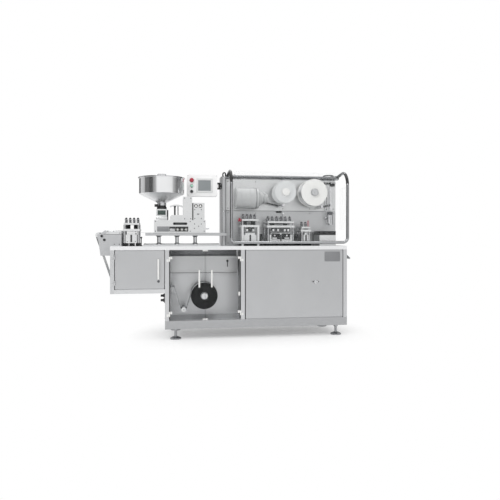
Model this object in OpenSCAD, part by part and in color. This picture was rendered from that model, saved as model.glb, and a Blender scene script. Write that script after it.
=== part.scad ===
// Flat-plate blister packing machine: cabinet with a film bay, infeed wing, feeder with hopper,
// press stations under a lifting clear guard, and reels on a rear wall.
// Millimetres. X runs along the film from infeed to outfeed, Y from the front to the rear, Z up from the floor.

/* [Cabinet] */
// Length of the main cabinet
cabinet_l = 1726; // [1700:1:1800]
// Depth of the cabinet, front to rear
cabinet_d = 560; // [540:1:640]
// Length of the infeed wing beside the cabinet
wing_l = 486; // [470:1:560]
// Height of the infeed wing below the table
wing_h = 394; // [370:1:430]
// Height of a levelling foot under the base rail
foot_h = 95; // [80:1:120]
// Radius of a levelling foot's pad
foot_r = 50; // [40:1:55]
// Height of the base rail
base_h = 77; // [70:1:90]
// Width of the base rail
base_w = 60; // [60:1:80]
// Height of the posts between base rail and table
post_h = 648; // [630:1:700]
// Width of the square posts and wing rails
post_w = 37; // [35:1:45]
// Thickness of the table, edge included
table_t = 35; // [30:1:45]
// Thickness of the sheet panels
sheet_t = 2; // [1.5:0.1:3]
// Clear width of the film bay between its posts
bay_w = 661; // [640:1:700]
// Distance from the front to the plates that carry the reels
wall_y = 360; // [350:1:380]
// Thickness of the plates that carry the reels
wall_t = 10; // [8:1:14]

/* [Doors] */
// Gap round every door
door_gap = 6; // [5:0.5:8]
// Thickness of the sheet metal doors
door_t = 18; // [16:1:20]
// Thickness of the clear doors
clear_t = 8; // [6:0.5:10]
// How far the bar handles stand out of the front
handle_out = 45; // [40:1:55]
// Radius of the bar handles
handle_r = 8; // [6:0.5:9]
// Length of the clear doors' handles
clear_handle_l = 157; // [120:1:200]
// Length of the wing door's handle
wing_handle_l = 182; // [140:1:220]
// Radius of the hinge barrels
barrel_r = 7; // [6:0.5:7.5]
// Height of one half of a hinge
barrel_h = 22; // [18:1:28]
// Radius of the hinge pins
pin_r = 3; // [2.5:0.1:4]
// Radial running clearance of pins and spindles
fit_gap = 0.06; // [0.04:0.01:0.1]

/* [Film] */
// Width of the film and the foil
film_w = 150; // [130:1:170]
// Thickness of the film as modelled
film_t = 1; // [0.8:0.1:1.5]
// Distance from the front to the film's centre line
film_y = 210; // [205:1:220]
// Height of the film's run above the table
film_h = 124; // [120:1:140]
// Radius of the film reel's flanges
reel_r = 126; // [115:1:135]
// Radius of the film left on the reel
roll_r = 122; // [80:1:124]
// Radius of the reels' hubs
hub_r = 36; // [30:1:42]
// Radius of the reel spindles
spindle_r = 12; // [10:1:15]
// Thickness of the reel flanges
flange_t = 6; // [4:0.5:8]
// Radius of the foil reel's flanges
foil_r = 131; // [120:1:140]
// Radius of the second reel's flanges
winder_r = 106; // [90:1:115]
// Radius of the film's guide rollers
guide_r = 22; // [18:1:24]

/* [Feeder] */
// Height of the feeder's track beam
track_t = 26; // [20:1:32]
// Length of the feeder's body
feeder_l = 480; // [460:1:500]
// Height of the feeder's body
feeder_h = 118; // [105:1:125]
// Depth of the feeder's body
feeder_d = 200; // [190:1:220]
// Radius of the hopper's drum
hopper_r = 211; // [190:1:215]
// Height of the hopper's drum
drum_h = 148; // [120:1:170]
// Height of the hopper's cone
cone_h = 86; // [70:1:110]
// Radius of the hopper's outlet
outlet_r = 40; // [34:1:44]
// Thickness of the hopper's wall
hopper_t = 3; // [2.5:0.1:4]
// Height of the discharge neck under the hopper
neck_h = 163; // [150:1:180]

/* [Control panel] */
// Width of the control panel
hmi_l = 296; // [280:1:300]
// Height of the control panel
hmi_h = 210; // [190:1:220]
// Depth of the control panel
hmi_d = 80; // [70:1:90]

/* [Guard] */
// Height of the rear housing above the table
housing_h = 663; // [640:1:690]
// Radius of the guard's tubes
guard_r = 14; // [12:0.5:16]
// Bend radius at the top of the guard
guard_bend = 140; // [120:1:150]
// Bend radius at the guard's lower corners
guard_corner = 45; // [40:1:60]
// Angle by which the guard's arms slope down to the hinge
guard_slope = 7; // [6:0.5:8]
// Radius of the guard's hinge tube
hinge_r = 15; // [13:0.5:17]
// Thickness of the guard's clear panes
pane_t = 5; // [4:0.5:6]

/* [Hidden] */
$fn = 64;
eps = 0.01;
cut = 1;

// Overall layout: the origin is the centre of the footprint
infeed_out = 148;
chute_out = 52;
total_l = infeed_out + wing_l + cabinet_l + chute_out;
x0 = -total_l / 2 + infeed_out + wing_l;
x1 = x0 + cabinet_l;
xw = x0 - wing_l;
y0 = -(cabinet_d - handle_out) / 2;
y1 = y0 + cabinet_d;
base_z = foot_h + base_h;
table_z = base_z + post_h;
top_z = table_z + table_t;
wing_z = table_z - wing_h;
wall_front = y0 + wall_y;

// Levelling feet
foot_inset_x = 97;
foot_inset_y = 46;
foot_pad_h = 12;
foot_cone_h = 12;
foot_stem_r = 12.5;
foot_nut_r = 22;
foot_nut_h = 16;

// Film bay and door openings
mid_x = x0 + post_w + bay_w;
bay_x = [x0 + post_w, mid_x];
bay_mid = (bay_x[0] + bay_x[1]) / 2;
door_x = [mid_x + post_w, x1 - post_w];
wing_x = [xw + post_w, x0];
wing_floor_z = wing_z + post_w;
partition_x = mid_x + post_w / 2;
cover_z = [base_z + 420, base_z + 581];
cover_d = 70;
lip_t = 8;
hook_x = x0 + 598;
hook_drop = 41;
hook_l = 60;
hook_r = 7;
catch_w = 24;
catch_h = 14;
slot_margin = 10;

// Hinges
axis_y = y0 - barrel_r - 1;
hinge_slack = 0.5;
pin_short = 1;
leaf_w = 26;
leaf_t = 3.5;
edge_in = 3;
hinge_rise = 62;
wing_axis_x = wing_x[0] + door_gap - edge_in;
left_axis_x = bay_x[0] + door_gap - edge_in;
right_axis_x = bay_x[1] - door_gap + edge_in;
bay_hinge_z = [base_z + hinge_rise, table_z - hinge_rise - barrel_h];
wing_hinge_z = [wing_floor_z + hinge_rise, table_z - hinge_rise];
pivot_r = 4;
pivot_l = 20;
pivot_play = 2;
main_axis = [door_x[0] + door_gap + door_t / 2, y0 + door_t / 2];

// Handles and locks
standoff_r = 5;
standoff_in = 14;
clear_handle_off = 57;
clear_handle_z = base_z + 385;
wing_handle_x = x0 - 58;
wing_handle_z = wing_z + 222;
lock_r = 14;
lock_out = 12;
main_lock_pos = [x1 - 312, base_z + 339];
wing_lock_z = wing_handle_z - wing_handle_l / 2 - 22;

// Film path: reel, bay roller, wall bar, wing bar, infeed roller, then flat over the table
reel_x = bay_mid - 2;
reel_z = base_z + 210;
film_z = top_z + film_h;
film_ys = [y0 + film_y - film_w / 2, y0 + film_y + film_w / 2];
film_off = 0.4;
web_in = 2;
web_ys = [film_ys[0] + web_in, film_ys[1] - web_in];
wrap_r = guide_r + film_off;
bay_roll_pos = [x0 + 172, base_z + 83];
bar_rise = 24;
wall_bar_pos = [x0 + 67, wing_z + bar_rise];
wing_bar_pos = [xw + 30, wall_bar_pos[1] + 2 * wrap_r + film_t];
infeed_pos = [xw - infeed_out + wrap_r + film_t, film_z - wrap_r];
slot_h = 40;
wing_slot_rise = 50;
film_low_z = wall_bar_pos[1] + wrap_r;
film_cut = 0.1;
hub_cap = 22;
cap_wall = 8;
hub_nose = 6;
spindle_foot = 12;
infeed_plate_out = 100;
infeed_plate_in = 88;
infeed_plate_drop = 88;
infeed_plate_t = 8;
plate_play = 1;
heater_x = [xw - 60, xw + 44];
heater_z = [film_z + 6, film_z + 16];
cheek_rise = 21;
cheek_slant = 50;
roller_l = film_w + 10;
journal_r = 7;
outfeed_x = [x1 - 240, x1 - 75];
outfeed_dip = 20;
outfeed_cap_h = 39;
chute_drop = 35;
chute_fall = 48;
chute_t = 14;
chute_w = 320;

// Guard and rear housing, along the film
pillar_x = [x0 + 547, x0 + 589];
guard_x = [x0 + 610, x1 + 12];
guard_l = guard_x[1] - guard_x[0];

// Press stations: centre, width, rise of the head and of the cap over the film, number and pitch of the springs
station_d = film_w + 50;
stations = [
    [xw + 177, 152, 16, 74, 4, 36],
    [guard_x[0] + 0.171 * guard_l, 172, 56, 116, 4, 38],
    [guard_x[0] + 0.435 * guard_l, 272, 53, 96, 6, 44],
    [guard_x[0] + 0.657 * guard_l, 102, 14, 44, 2, 40],
];
portal = stations[1];
station_y = [y0 + film_y - station_d / 2, y0 + film_y + station_d / 2];
station_base_h = 28;
base_block_share = 0.24;
block_drop = 18;
block_in = 26;
die_in = 40;
die_gap = 8;
head_t = 19;
cap_t = 16;
cap_in = 14;
guide_post_r = 8;
guide_in = 13;
ram_r = 18;
ram_share = 0.24;
portal_t = 12;
portal_w = 20;
stud_r = 5;
spring_r = 11;
coil_t = 4;
coil_pitch = 8;
coil_n = 4;
stud_h = 54;
nut_r = 8;
nut_h = 10;
slot_w = 16;
slot_d = 10;
slot_rise = 8;
screw_r = 4;
screw_in = 14;
lever_off = 14;
lever_h = 78;
lever_r = 4;
ball_r = 9;

// Feeder
track_z = film_z - film_off - track_t;
track_x = [x0 - 183, x0 + 581];
track_w = film_w + 30;
feeder_x = [x0 - 103, x0 - 103 + feeder_l];
feeder_y = [y0 + film_y - feeder_d / 2, y0 + film_y + feeder_d / 2];
feeder_z = film_z + film_t + film_off;
feeder_top = feeder_z + feeder_h;
feeder_wall = 8;
slot_x = [feeder_x[0] + 174, feeder_x[0] + 308];
slot_z = [feeder_z + 72, feeder_z + 96];
slot_r = 11.9;
window_x = [feeder_x[0] + 140, feeder_x[0] + 317];
window_z = [feeder_z + 10, feeder_z + 57];
window_d = 40;
window_plate = 58;
rail_h = 14;
rail_w = 120;
rail_x = [x0 - 205, x0 + 520];
side_t = 10;
leg_r = 17;
leg_foot_r = 26;
leg_foot_h = 6;
leg_flare = 12;
leg_head = 14;
leg_xs = [x0 - 61, x0 + 109, x0 + 281];
hopper_x = x0 - 34;
hopper_y = y0 + film_y;
hopper_z = feeder_top + neck_h;
drum_z = hopper_z + cone_h;
rim_z = drum_z + drum_h;
rim_r = hopper_r + 9;
rim_t = 5;
lid_t = 6;
lid_plug = 14;
lid_plug_gap = 5;
neck_pipe_h = 11;
neck_clamp_h = 24;
neck_collar_h = 23;
gate_h = 69;
gate_w = 100;
gate_sink = 6;
gate_frame = 14;
gate_z = hopper_z - neck_pipe_h - neck_clamp_h - neck_collar_h - gate_h;
lug_w = 28;
lug_l = 35;
neck_post_r = 6;
neck_post_h = 96;
inset_y = 30;
column_x = [x0 + 166, x0 + 252];
column_h = 222;
hood_x = [x0 + 43, x0 + 166];
hood_h = 48;
hood_slant = 16;
stay_x = x0 + 104;
stay_off = 15;
stay_r = 6;
arc_r = 150;
arc_t = 12;
arc_turn = 25;
arc_w = 70;
arc_z = feeder_top + 149;
box_x = [x0 + 262, x0 + 367];
box_y = [feeder_y[0] + 10, feeder_y[1] - 40];
box_h = 164;
box_plate_x = [box_x[0] + 8, box_x[0] + 80];
box_plate_z = [feeder_top + 10, feeder_top + 104];
box_plate_t = 3;
box_slot_w = 22;
box_slot_h = 9;
dial_xs = [box_x[0] + 24, box_x[0] + 66];
dial_z = feeder_top + box_h - 30;
dial_r = 15;
dial_out = 6;
tap_z = feeder_z + 40;
tap_l = 38;
tap_r = 6;
tap_grip = 32;

// Control panel and its swivel
pillar_d = 60;
swivel = [pillar_x[0] - 22, wall_front - pillar_d / 2];
swivel_r = 10;
ear_r = 14;
ear_reach = 23;
hmi_x = [swivel[0] - ear_reach - hmi_l, swivel[0] - ear_reach];
hmi_y = [swivel[1] - hmi_d / 2, swivel[1] + hmi_d / 2];
panel_gap = 18.6;
hmi_z = feeder_top + column_h + panel_gap;
hmi_mid = hmi_z + hmi_h / 2;
hmi_corner = 10;
bracket_h = 66;
bracket_foot = 3;
bracket_neck = 13;
ear_h = 15;
screen_x = [hmi_x[0] + 108, hmi_x[1] - 64];
screen_z = [hmi_z + 52, hmi_z + hmi_h - 54];
bezel_w = 18;
bezel_t = 5;
screen_t = 3;
button_x = hmi_x[0] + 45;
button_zs = [hmi_z + 45, hmi_z + 100];
button_r = 14;
button_out = 12;
stop_z = hmi_z + hmi_h - 55;
stop_r = 20;
stop_neck = 12;
stop_out = 28;
stop_edge = 4;

// Guard
guard_y = y0 + 15;
guard_z = top_z + 33;
housing_top = top_z + housing_h;
hinge_z = housing_top + 29;
bend_y = guard_y + guard_bend;
arm_run = wall_front - bend_y - guard_bend * sin(guard_slope);
bend_z = hinge_z + arm_run * tan(guard_slope) - guard_bend * cos(guard_slope);
pane_gap = 0.5;
collar_r = 24;
collar_l = 30;
collar_gap = 5;
weld_l = 4;
weld_t = 0.4;
end_pane_y = [guard_y + guard_r + pane_gap, guard_y + 235];
end_pane_z = [top_z + 155, bend_z];
bracket_w = 30;
bracket_in = 120;
stop_ring_r = 20;
stop_ring_l = 18;
stop_ring_in = 60;
housing_x = [pillar_x[0], x1 + 4];
housing_z = [top_z, housing_top];
rise_y = wall_front + collar_r + 6;
pillar_rise = 19;
seam_z = top_z + 350;
seam_gap = 1;

// Reels and fittings on the rear wall
reel_row_z = housing_top - 141;
foil_pos = [guard_x[0] + 0.736 * guard_l, reel_row_z];
winder_pos = [guard_x[0] + 0.481 * guard_l, reel_row_z];
motor_x = [guard_x[0] + 0.061 * guard_l, guard_x[0] + 0.258 * guard_l];
motor_r = 100;
motor_gap = 8;
motor_z = housing_top - 197;
motor_y = wall_front - motor_r - motor_gap;
motor_flange_t = 20;
motor_flange_r = 76;
motor_tail_l = 70;
motor_tail_r = 43;
motor_ring_t = 5;
motor_ring_n = 5;
motor_seat_in = 30;
motor_seat_h = 40;
arm_t = 12;
arm_w = 18;
arm_boss_r = 13;
arm_roll_r = 12;
arm_lip = 2;
dancers = [
    [winder_pos - [198, 87], winder_pos - [20, 127], 40],
    [[x1 - 78, housing_top - 256], foil_pos + [80, -139], 52],
];
slide_xs = [x1 - 112, x1 - 64];
slide_w = 20;
slide_drop = 70;
slide_rise = 4;
stand_x = [x1 - 98, x1 - 38];
stand_d = 40;
stand_z = [top_z + 210, top_z + 345];
stand_wall = 14;
stand_knob = [x1 - 118, top_z + 280];
fitting_r = 10;
fitting_out = 30;
pillar_knob_z = top_z + 335;
tag_x = guard_x[0] + 0.5 * guard_l;
tag_rod_l = 80;
tag_rod_r = 4;

// Connections at the left end
gland_z = wing_z - 48;
gland_y = y0 + 60;
gland_plate_w = 40;
gland_plate_h = 84;
gland_plate_t = 8;
gland_pitch = 42;
gland_r = 11;
gland_nut_r = 16;
gland_nut_l = 10;
gland_l = 32;

// Shared shapes

// Box between pairs of limits on each axis
module span(x, y, z) {
    translate([x[0], y[0], z[0]])
        cube([x[1] - x[0], y[1] - y[0], z[1] - z[0]]);
}

// Round bar along X, Y or Z between two limits
module bar_x(x, y, z, r) {
    translate([x[0], y, z])
        rotate([0, 90, 0])
            cylinder(r = r, h = x[1] - x[0]);
}

module bar_y(x, y, z, r) {
    translate([x, y[0], z])
        rotate([-90, 0, 0])
            cylinder(r = r, h = y[1] - y[0]);
}

module bar_z(x, y, z, r) {
    translate([x, y, z[0]])
        cylinder(r = r, h = z[1] - z[0]);
}

// Flat outline with round corners, standing in the XZ plane
module round_plate(x, y, z, r) {
    translate([x[0], y[1], z[0]])
        rotate([90, 0, 0])
            linear_extrude(y[1] - y[0]) {
                w = x[1] - x[0];
                h = z[1] - z[0];
                translate([r, 0])
                    square([w - 2 * r, h]);
                translate([0, r])
                    square([w, h - 2 * r]);
                for (cx = [r, w - r], cz = [r, h - r])
                    translate([cx, cz])
                        circle(r);
            }
}

// Lower half of a lift-off hinge: barrel, pin and a leaf on the post
module hinge_frame_half(x, z, side) {
    bar_z(x, axis_y, [z - barrel_h, z - hinge_slack / 2], barrel_r);
    bar_z(x, axis_y, [z - barrel_h, z + barrel_h - pin_short], pin_r);
    span(side > 0 ? [x - leaf_w, x] : [x, x + leaf_w], [y0 - leaf_t, y0],
         [z - barrel_h, z - hinge_slack / 2]);
}

// Upper half of a lift-off hinge: bored barrel and a leaf on the door
module hinge_door_half(x, z, side) {
    difference() {
        union() {
            bar_z(x, axis_y, [z + hinge_slack / 2, z + barrel_h], barrel_r);
            span(side > 0 ? [x, x + leaf_w] : [x - leaf_w, x], [y0 - leaf_t, y0],
                 [z + hinge_slack / 2, z + barrel_h]);
        }
        bar_z(x, axis_y, [z - eps, z + barrel_h + cut], pin_r + fit_gap);
    }
}

// Bar handle on two standoffs, standing out of a face at the front
module bar_handle(x, z, l) {
    bar_z(x, y0 - handle_out + handle_r, [z - l / 2, z + l / 2], handle_r);
    for (s = [-1, 1])
        bar_y(x, [y0 - handle_out + handle_r, y0], z + s * (l / 2 - standoff_in), standoff_r);
}

// Sheet metal door with returned edges, open at the rear
module pan_door(x, z) {
    difference() {
        span(x, [y0, y0 + door_t], z);
        span([x[0] + door_t, x[1] - door_t], [y0 + sheet_t, y0 + door_t + cut],
             [z[0] + door_t, z[1] - door_t]);
    }
}

// Sleeve that turns on a journal
module sleeve(pos, r, bore) {
    difference() {
        bar_y(pos[0], [y0 + film_y - roller_l / 2, y0 + film_y + roller_l / 2], pos[1], r);
        bar_y(pos[0], [y0, y1], pos[1], bore);
    }
}

// Pair of discs that hold a roll of film between them
module flange_pair(pos, r) {
    for (y = [film_ys[0] - flange_t, film_ys[1]])
        difference() {
            bar_y(pos[0], [y, y + flange_t], pos[1], r);
            bar_y(pos[0], [y0, y1], pos[1], hub_r);
        }
}

// Roll of material between the flanges
module roll(pos, r) {
    difference() {
        bar_y(pos[0], film_ys, pos[1], r);
        bar_y(pos[0], [y0, y1], pos[1], hub_r);
    }
}

// Hub that carries flanges and roll, bored for its spindle, with a front cap
module hub(pos) {
    front = film_ys[0] - flange_t - hub_cap;
    difference() {
        union() {
            bar_y(pos[0], [front, film_ys[1] + flange_t], pos[1], hub_r);
            bar_y(pos[0], [front - hub_nose, front], pos[1], hub_r / 2);
        }
        bar_y(pos[0], [front + cap_wall, y1], pos[1], spindle_r + fit_gap);
    }
}

// Spindle with a round foot on the wall
module spindle(pos) {
    bar_y(pos[0], [film_ys[0] - flange_t, wall_front], pos[1], spindle_r);
    bar_y(pos[0], [wall_front - spindle_foot, wall_front], pos[1], 2 * spindle_r);
}

// Cabinet

module levelling_feet() {
    color("dimgray")
        for (x = [x0 + foot_inset_x, x1 - foot_inset_x], y = [y0 + foot_inset_y, y1 - foot_inset_y])
            translate([x, y, 0]) {
                rotate_extrude()
                    polygon([
                        [0, 0], [foot_r, 0], [foot_r, foot_pad_h], [foot_nut_r, foot_pad_h + foot_cone_h],
                        [foot_stem_r, foot_pad_h + foot_cone_h], [foot_stem_r, foot_h], [0, foot_h],
                    ]);
                translate([0, 0, foot_h - foot_nut_h])
                    cylinder(r = foot_nut_r, h = foot_nut_h, $fn = 6);
            }
}

module frame_rails() {
    color("silver") {
        for (y = [y0, y1 - base_w])
            span([x0, x1], [y, y + base_w], [foot_h, base_z]);
        for (y = [y0, y1 - post_w])
            span(wing_x, [y, y + post_w], [wing_z, wing_floor_z]);
    }
}

module frame_posts() {
    color("silver")
        for (y = [y0, y1 - post_w]) {
            for (x = [x0, mid_x, x1 - post_w])
                span([x, x + post_w], [y, y + post_w], [base_z, table_z]);
            span([xw, xw + post_w], [y, y + post_w], [wing_z, table_z]);
        }
}

module cabinet_floor() {
    color("lightgray")
        span([x0 + sheet_t, x1 - sheet_t], [y0 + post_w, y1 - post_w], [base_z, base_z + sheet_t]);
}

module skin_panels() {
    side_y = [y0 + post_w, y1 - post_w];
    film_slot_y = [film_ys[0] - slot_margin, film_ys[1] + slot_margin];
    film_slot_z = [film_low_z - slot_h / 2, film_low_z + slot_h / 2];
    color("gainsboro") {
        difference() {
            span([x0, x0 + sheet_t], side_y, [base_z, table_z]);
            span([x0 - cut, x0 + sheet_t + cut], film_slot_y, film_slot_z);
        }
        span([x1 - sheet_t, x1], side_y, [base_z, table_z]);
        span([x0 + post_w, mid_x], [y1 - sheet_t, y1], [base_z, table_z]);
        span([mid_x + post_w, x1 - post_w], [y1 - sheet_t, y1], [base_z, table_z]);
        difference() {
            span([xw, xw + sheet_t], side_y, [wing_z, table_z]);
            span([xw - cut, xw + sheet_t + cut], film_slot_y, film_slot_z + [0, wing_slot_rise]);
        }
        span([xw + 2 * sheet_t, x0 - sheet_t], side_y, [wing_z, wing_z + sheet_t]);
        span(wing_x, [y1 - sheet_t, y1], [wing_floor_z, table_z]);
    }
}

module bay_partition() {
    color("darkgray")
        span([partition_x - sheet_t, partition_x + sheet_t], [y0 + post_w, wall_front],
             [base_z + sheet_t, table_z]);
}

module reel_wall() {
    color("gainsboro")
        span([x0 + sheet_t, partition_x + sheet_t], [wall_front, wall_front + wall_t],
             [base_z + sheet_t, table_z]);
}

module bay_cover() {
    front = wall_front - cover_d;
    color("whitesmoke") {
        span(bay_x, [front, wall_front], cover_z);
        span(bay_x, [front - lip_t, front], [cover_z[0], cover_z[0] + 2 * lip_t]);
        bar_y(hook_x, [front - 2 * hook_r, front], cover_z[1] - hook_drop, hook_r);
        span([hook_x - hook_r / 2, hook_x + hook_r / 2], [front - 2 * hook_r, front - hook_r],
             [cover_z[1] - hook_drop - hook_l, cover_z[1] - hook_drop]);
    }
}

module table_top() {
    color("gainsboro")
        span([xw, x1], [y0, y1], [table_z, top_z]);
}

// Doors

module door_pivots() {
    color("silver") {
        for (z = wing_hinge_z)
            hinge_frame_half(wing_axis_x, z, 1);
        bar_z(main_axis[0], main_axis[1], [base_z, base_z + door_gap + pivot_l], pivot_r);
        bar_z(main_axis[0], main_axis[1], [table_z - door_gap - pivot_l, table_z], pivot_r);
    }
}

module wing_door() {
    color("gainsboro") {
        pan_door([wing_x[0] + door_gap, wing_x[1] - door_gap], [wing_floor_z + door_gap, table_z - door_gap]);
        for (z = wing_hinge_z)
            hinge_door_half(wing_axis_x, z, 1);
    }
}

module wing_handle() {
    color("white") {
        bar_handle(wing_handle_x, wing_handle_z, wing_handle_l);
        bar_y(wing_handle_x, [y0 - lock_out / 2, y0], wing_lock_z, lock_r / 2);
    }
}

module clear_hinges() {
    catch_y = [y0 + clear_t + door_gap, y0 + clear_t + door_gap + catch_h];
    color("white") {
        for (z = bay_hinge_z) {
            hinge_frame_half(left_axis_x, z, 1);
            hinge_frame_half(right_axis_x, z, -1);
        }
        for (z = [[base_z, base_z + catch_h], [table_z - catch_h, table_z]])
            span([bay_mid - catch_w, bay_mid + catch_w], catch_y, z);
    }
}

module clear_leaf(x) {
    span(x, [y0, y0 + clear_t], [base_z + door_gap, table_z - door_gap]);
}

module clear_door_left() {
    color("lightblue", 0.35)
        clear_leaf([bay_x[0] + door_gap, bay_mid - door_gap / 2]);
}

module clear_door_right() {
    color("lightblue", 0.35)
        clear_leaf([bay_mid + door_gap / 2, bay_x[1] - door_gap]);
}

module clear_left_fittings() {
    color("white") {
        bar_handle(bay_mid - clear_handle_off, clear_handle_z, clear_handle_l);
        for (z = bay_hinge_z)
            hinge_door_half(left_axis_x, z, 1);
    }
}

module clear_right_fittings() {
    color("white") {
        bar_handle(bay_mid + clear_handle_off, clear_handle_z, clear_handle_l);
        for (z = bay_hinge_z)
            hinge_door_half(right_axis_x, z, -1);
    }
}

module main_door() {
    z = [base_z + door_gap, table_z - door_gap];
    color("gainsboro")
        difference() {
            union() {
                pan_door([main_axis[0], door_x[1] - door_gap], z);
                bar_z(main_axis[0], main_axis[1], z, door_t / 2);
            }
            for (end = [[z[0] - cut, z[0] + pivot_l + pivot_play], [z[1] - pivot_l - pivot_play, z[1] + cut]])
                bar_z(main_axis[0], main_axis[1], end, pivot_r + fit_gap);
        }
}

module main_lock() {
    color("silver") {
        bar_y(main_lock_pos[0], [y0 - lock_out / 3, y0], main_lock_pos[1], lock_r);
        bar_y(main_lock_pos[0], [y0 - lock_out, y0 - lock_out / 3], main_lock_pos[1], lock_r / 2);
    }
}

// Reels and film

module reel_spindles() {
    color("silver") {
        spindle([reel_x, reel_z]);
        spindle(foil_pos);
        spindle(winder_pos);
    }
}

module reel_flanges() {
    color("black")
        flange_pair([reel_x, reel_z], reel_r);
}

module film_roll() {
    color("lightgray")
        roll([reel_x, reel_z], roll_r);
}

module reel_hub() {
    color("silver")
        hub([reel_x, reel_z]);
}

module foil_flanges() {
    color("white")
        flange_pair(foil_pos, foil_r);
}

module foil_roll() {
    color("lightgray")
        roll(foil_pos, foil_r - flange_t);
}

module foil_hub() {
    color("gray")
        hub(foil_pos);
}

module winder_flanges() {
    color("lightgray")
        flange_pair(winder_pos, winder_r);
}

module winder_hub() {
    color("white")
        hub(winder_pos);
}

// Side plate of the infeed: hangs on the table's end and reaches out to the roller
module infeed_plate() {
    translate([0, infeed_plate_t, 0])
        rotate([90, 0, 0])
            linear_extrude(infeed_plate_t)
                polygon([
                    [xw - infeed_plate_out, top_z - infeed_plate_drop], [xw, top_z - infeed_plate_drop],
                    [xw, top_z], [xw + infeed_plate_in, top_z], [xw + infeed_plate_in, film_z + cheek_rise],
                    [heater_x[0], film_z + cheek_rise], [heater_x[0] - cheek_slant, film_z - guide_r + journal_r],
                    [infeed_pos[0], film_z - guide_r + journal_r], [infeed_pos[0], infeed_pos[1] - journal_r],
                ]);
}

// Journals, bars and side plates that lead the film
module film_guides() {
    plate_off = roller_l / 2 + plate_play;
    plate_y = [y0 + film_y - plate_off - infeed_plate_t, y0 + film_y + plate_off];
    color("silver") {
        bar_y(bay_roll_pos[0], [y0 + film_y - roller_l / 2, wall_front], bay_roll_pos[1], journal_r);
        bar_y(wall_bar_pos[0], [film_ys[0], wall_front], wall_bar_pos[1], guide_r);
        bar_y(wing_bar_pos[0], [film_ys[0], y1 - post_w], wing_bar_pos[1], guide_r);
        for (y = plate_y)
            translate([0, y, 0])
                infeed_plate();
        bar_y(infeed_pos[0], [plate_y[0], plate_y[1] + infeed_plate_t], infeed_pos[1], journal_r);
        span(heater_x, [plate_y[0], plate_y[1] + infeed_plate_t], heater_z);
    }
}

module infeed_roller() {
    color("darkgray")
        sleeve(infeed_pos, guide_r, journal_r + fit_gap);
}

module bay_roller() {
    color("darkgray")
        sleeve(bay_roll_pos, guide_r, journal_r + fit_gap);
}

// Straight stretch of film from a point of the XZ plane, at an angle counted from +X towards +Z
module film_run(from, angle, l) {
    translate([from[0], web_ys[0], from[1]])
        rotate([0, -angle, 0])
            translate([film_cut, 0, 0])
                cube([l - 2 * film_cut, web_ys[1] - web_ys[0], film_t]);
}

// Film bent round a roller between two angles
module film_wrap(pos, from, to) {
    translate([pos[0], web_ys[1], pos[1]])
        rotate([90, 0, 0])
            rotate([0, 0, from])
                rotate_extrude(angle = to - from)
                    translate([wrap_r, 0])
                        square([film_t, web_ys[1] - web_ys[0]]);
}

// Point at a distance and an angle from a centre
function at_angle(pos, r, a) = [pos[0] + r * cos(a), pos[1] + r * sin(a)];

// Direction of one point seen from another
function heading(a, b) = atan2(b[1] - a[1], b[0] - a[0]);

module film_web() {
    reel = [reel_x, reel_z];
    off_roll = roll_r + film_off + film_t;
    drop_l = norm(bay_roll_pos - reel);
    drop_turn = asin((off_roll + wrap_r) / drop_l);
    drop = heading(reel, bay_roll_pos) + drop_turn;
    climb_l = norm(wall_bar_pos - bay_roll_pos);
    climb_turn = asin((2 * wrap_r + film_t) / climb_l);
    climb = heading(bay_roll_pos, wall_bar_pos) - climb_turn;
    lead = heading(wing_bar_pos, infeed_pos);
    color("lightsteelblue", 0.6) {
        film_run(at_angle(reel, off_roll, drop - 90), drop, drop_l * cos(drop_turn));
        film_wrap(bay_roll_pos, climb - 270, drop - 270);
        film_run(at_angle(bay_roll_pos, wrap_r, climb + 90), climb, climb_l * cos(climb_turn));
        film_wrap(wall_bar_pos, climb - 90, 90);
        film_run([wing_bar_pos[0], film_low_z], 0, wall_bar_pos[0] - wing_bar_pos[0]);
        film_wrap(wing_bar_pos, lead + 90, 270);
        film_run(at_angle(wing_bar_pos, wrap_r, lead + 90), lead, norm(infeed_pos - wing_bar_pos));
        film_wrap(infeed_pos, 90, lead + 90);
        film_run(at_angle(infeed_pos, wrap_r, 90), 0, outfeed_x[0] - infeed_pos[0]);
    }
}

// Press stations

// Black blocks under the stations and the outfeed's top
module station_bases() {
    color("black") {
        for (s = stations, side = [-1, 0, 1]) {
            half = base_block_share * s[1] / 2;
            x = s[0] + side * (s[1] / 2 - half);
            span([x - half, x + half], station_y, [top_z, top_z + station_base_h]);
        }
        translate([0, 0, film_z - film_off - outfeed_dip])
            span(outfeed_x, station_y, [0, outfeed_cap_h]);
    }
}

// Slotted block and lower die of one station
module press_block(s) {
    half = s[1] / 2 - block_in;
    z = [top_z + station_base_h, film_z - block_drop];
    difference() {
        span([s[0] - half, s[0] + half], station_y, z);
        span([s[0] - slot_w / 2, s[0] + slot_w / 2], [station_y[0] - cut, station_y[0] + slot_d],
             z + [slot_rise, cut]);
        for (side = [-1, 1])
            bar_y(s[0] + side * (half - screw_in), [station_y[0] - cut, station_y[0] + screw_r],
                  z[0] + screw_in, screw_r);
    }
    span([s[0] - s[1] / 2 + die_in, s[0] + s[1] / 2 - die_in], station_y + [guide_in, -guide_in],
         [film_z - block_drop, film_z - film_off]);
}

module station_blocks() {
    color("whitesmoke")
        for (s = stations)
            press_block(s);
}

// The four guide posts of one station, from one height to another
module guide_posts(s, z) {
    for (side = [-1, 1], y = [station_y[0] + guide_in, station_y[1] - guide_in])
        bar_z(s[0] + side * (s[1] / 2 - guide_in), y, z, guide_post_r);
}

module station_posts() {
    color("silver")
        for (s = stations)
            guide_posts(s, [top_z + station_base_h, film_z + s[3]]);
}

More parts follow.
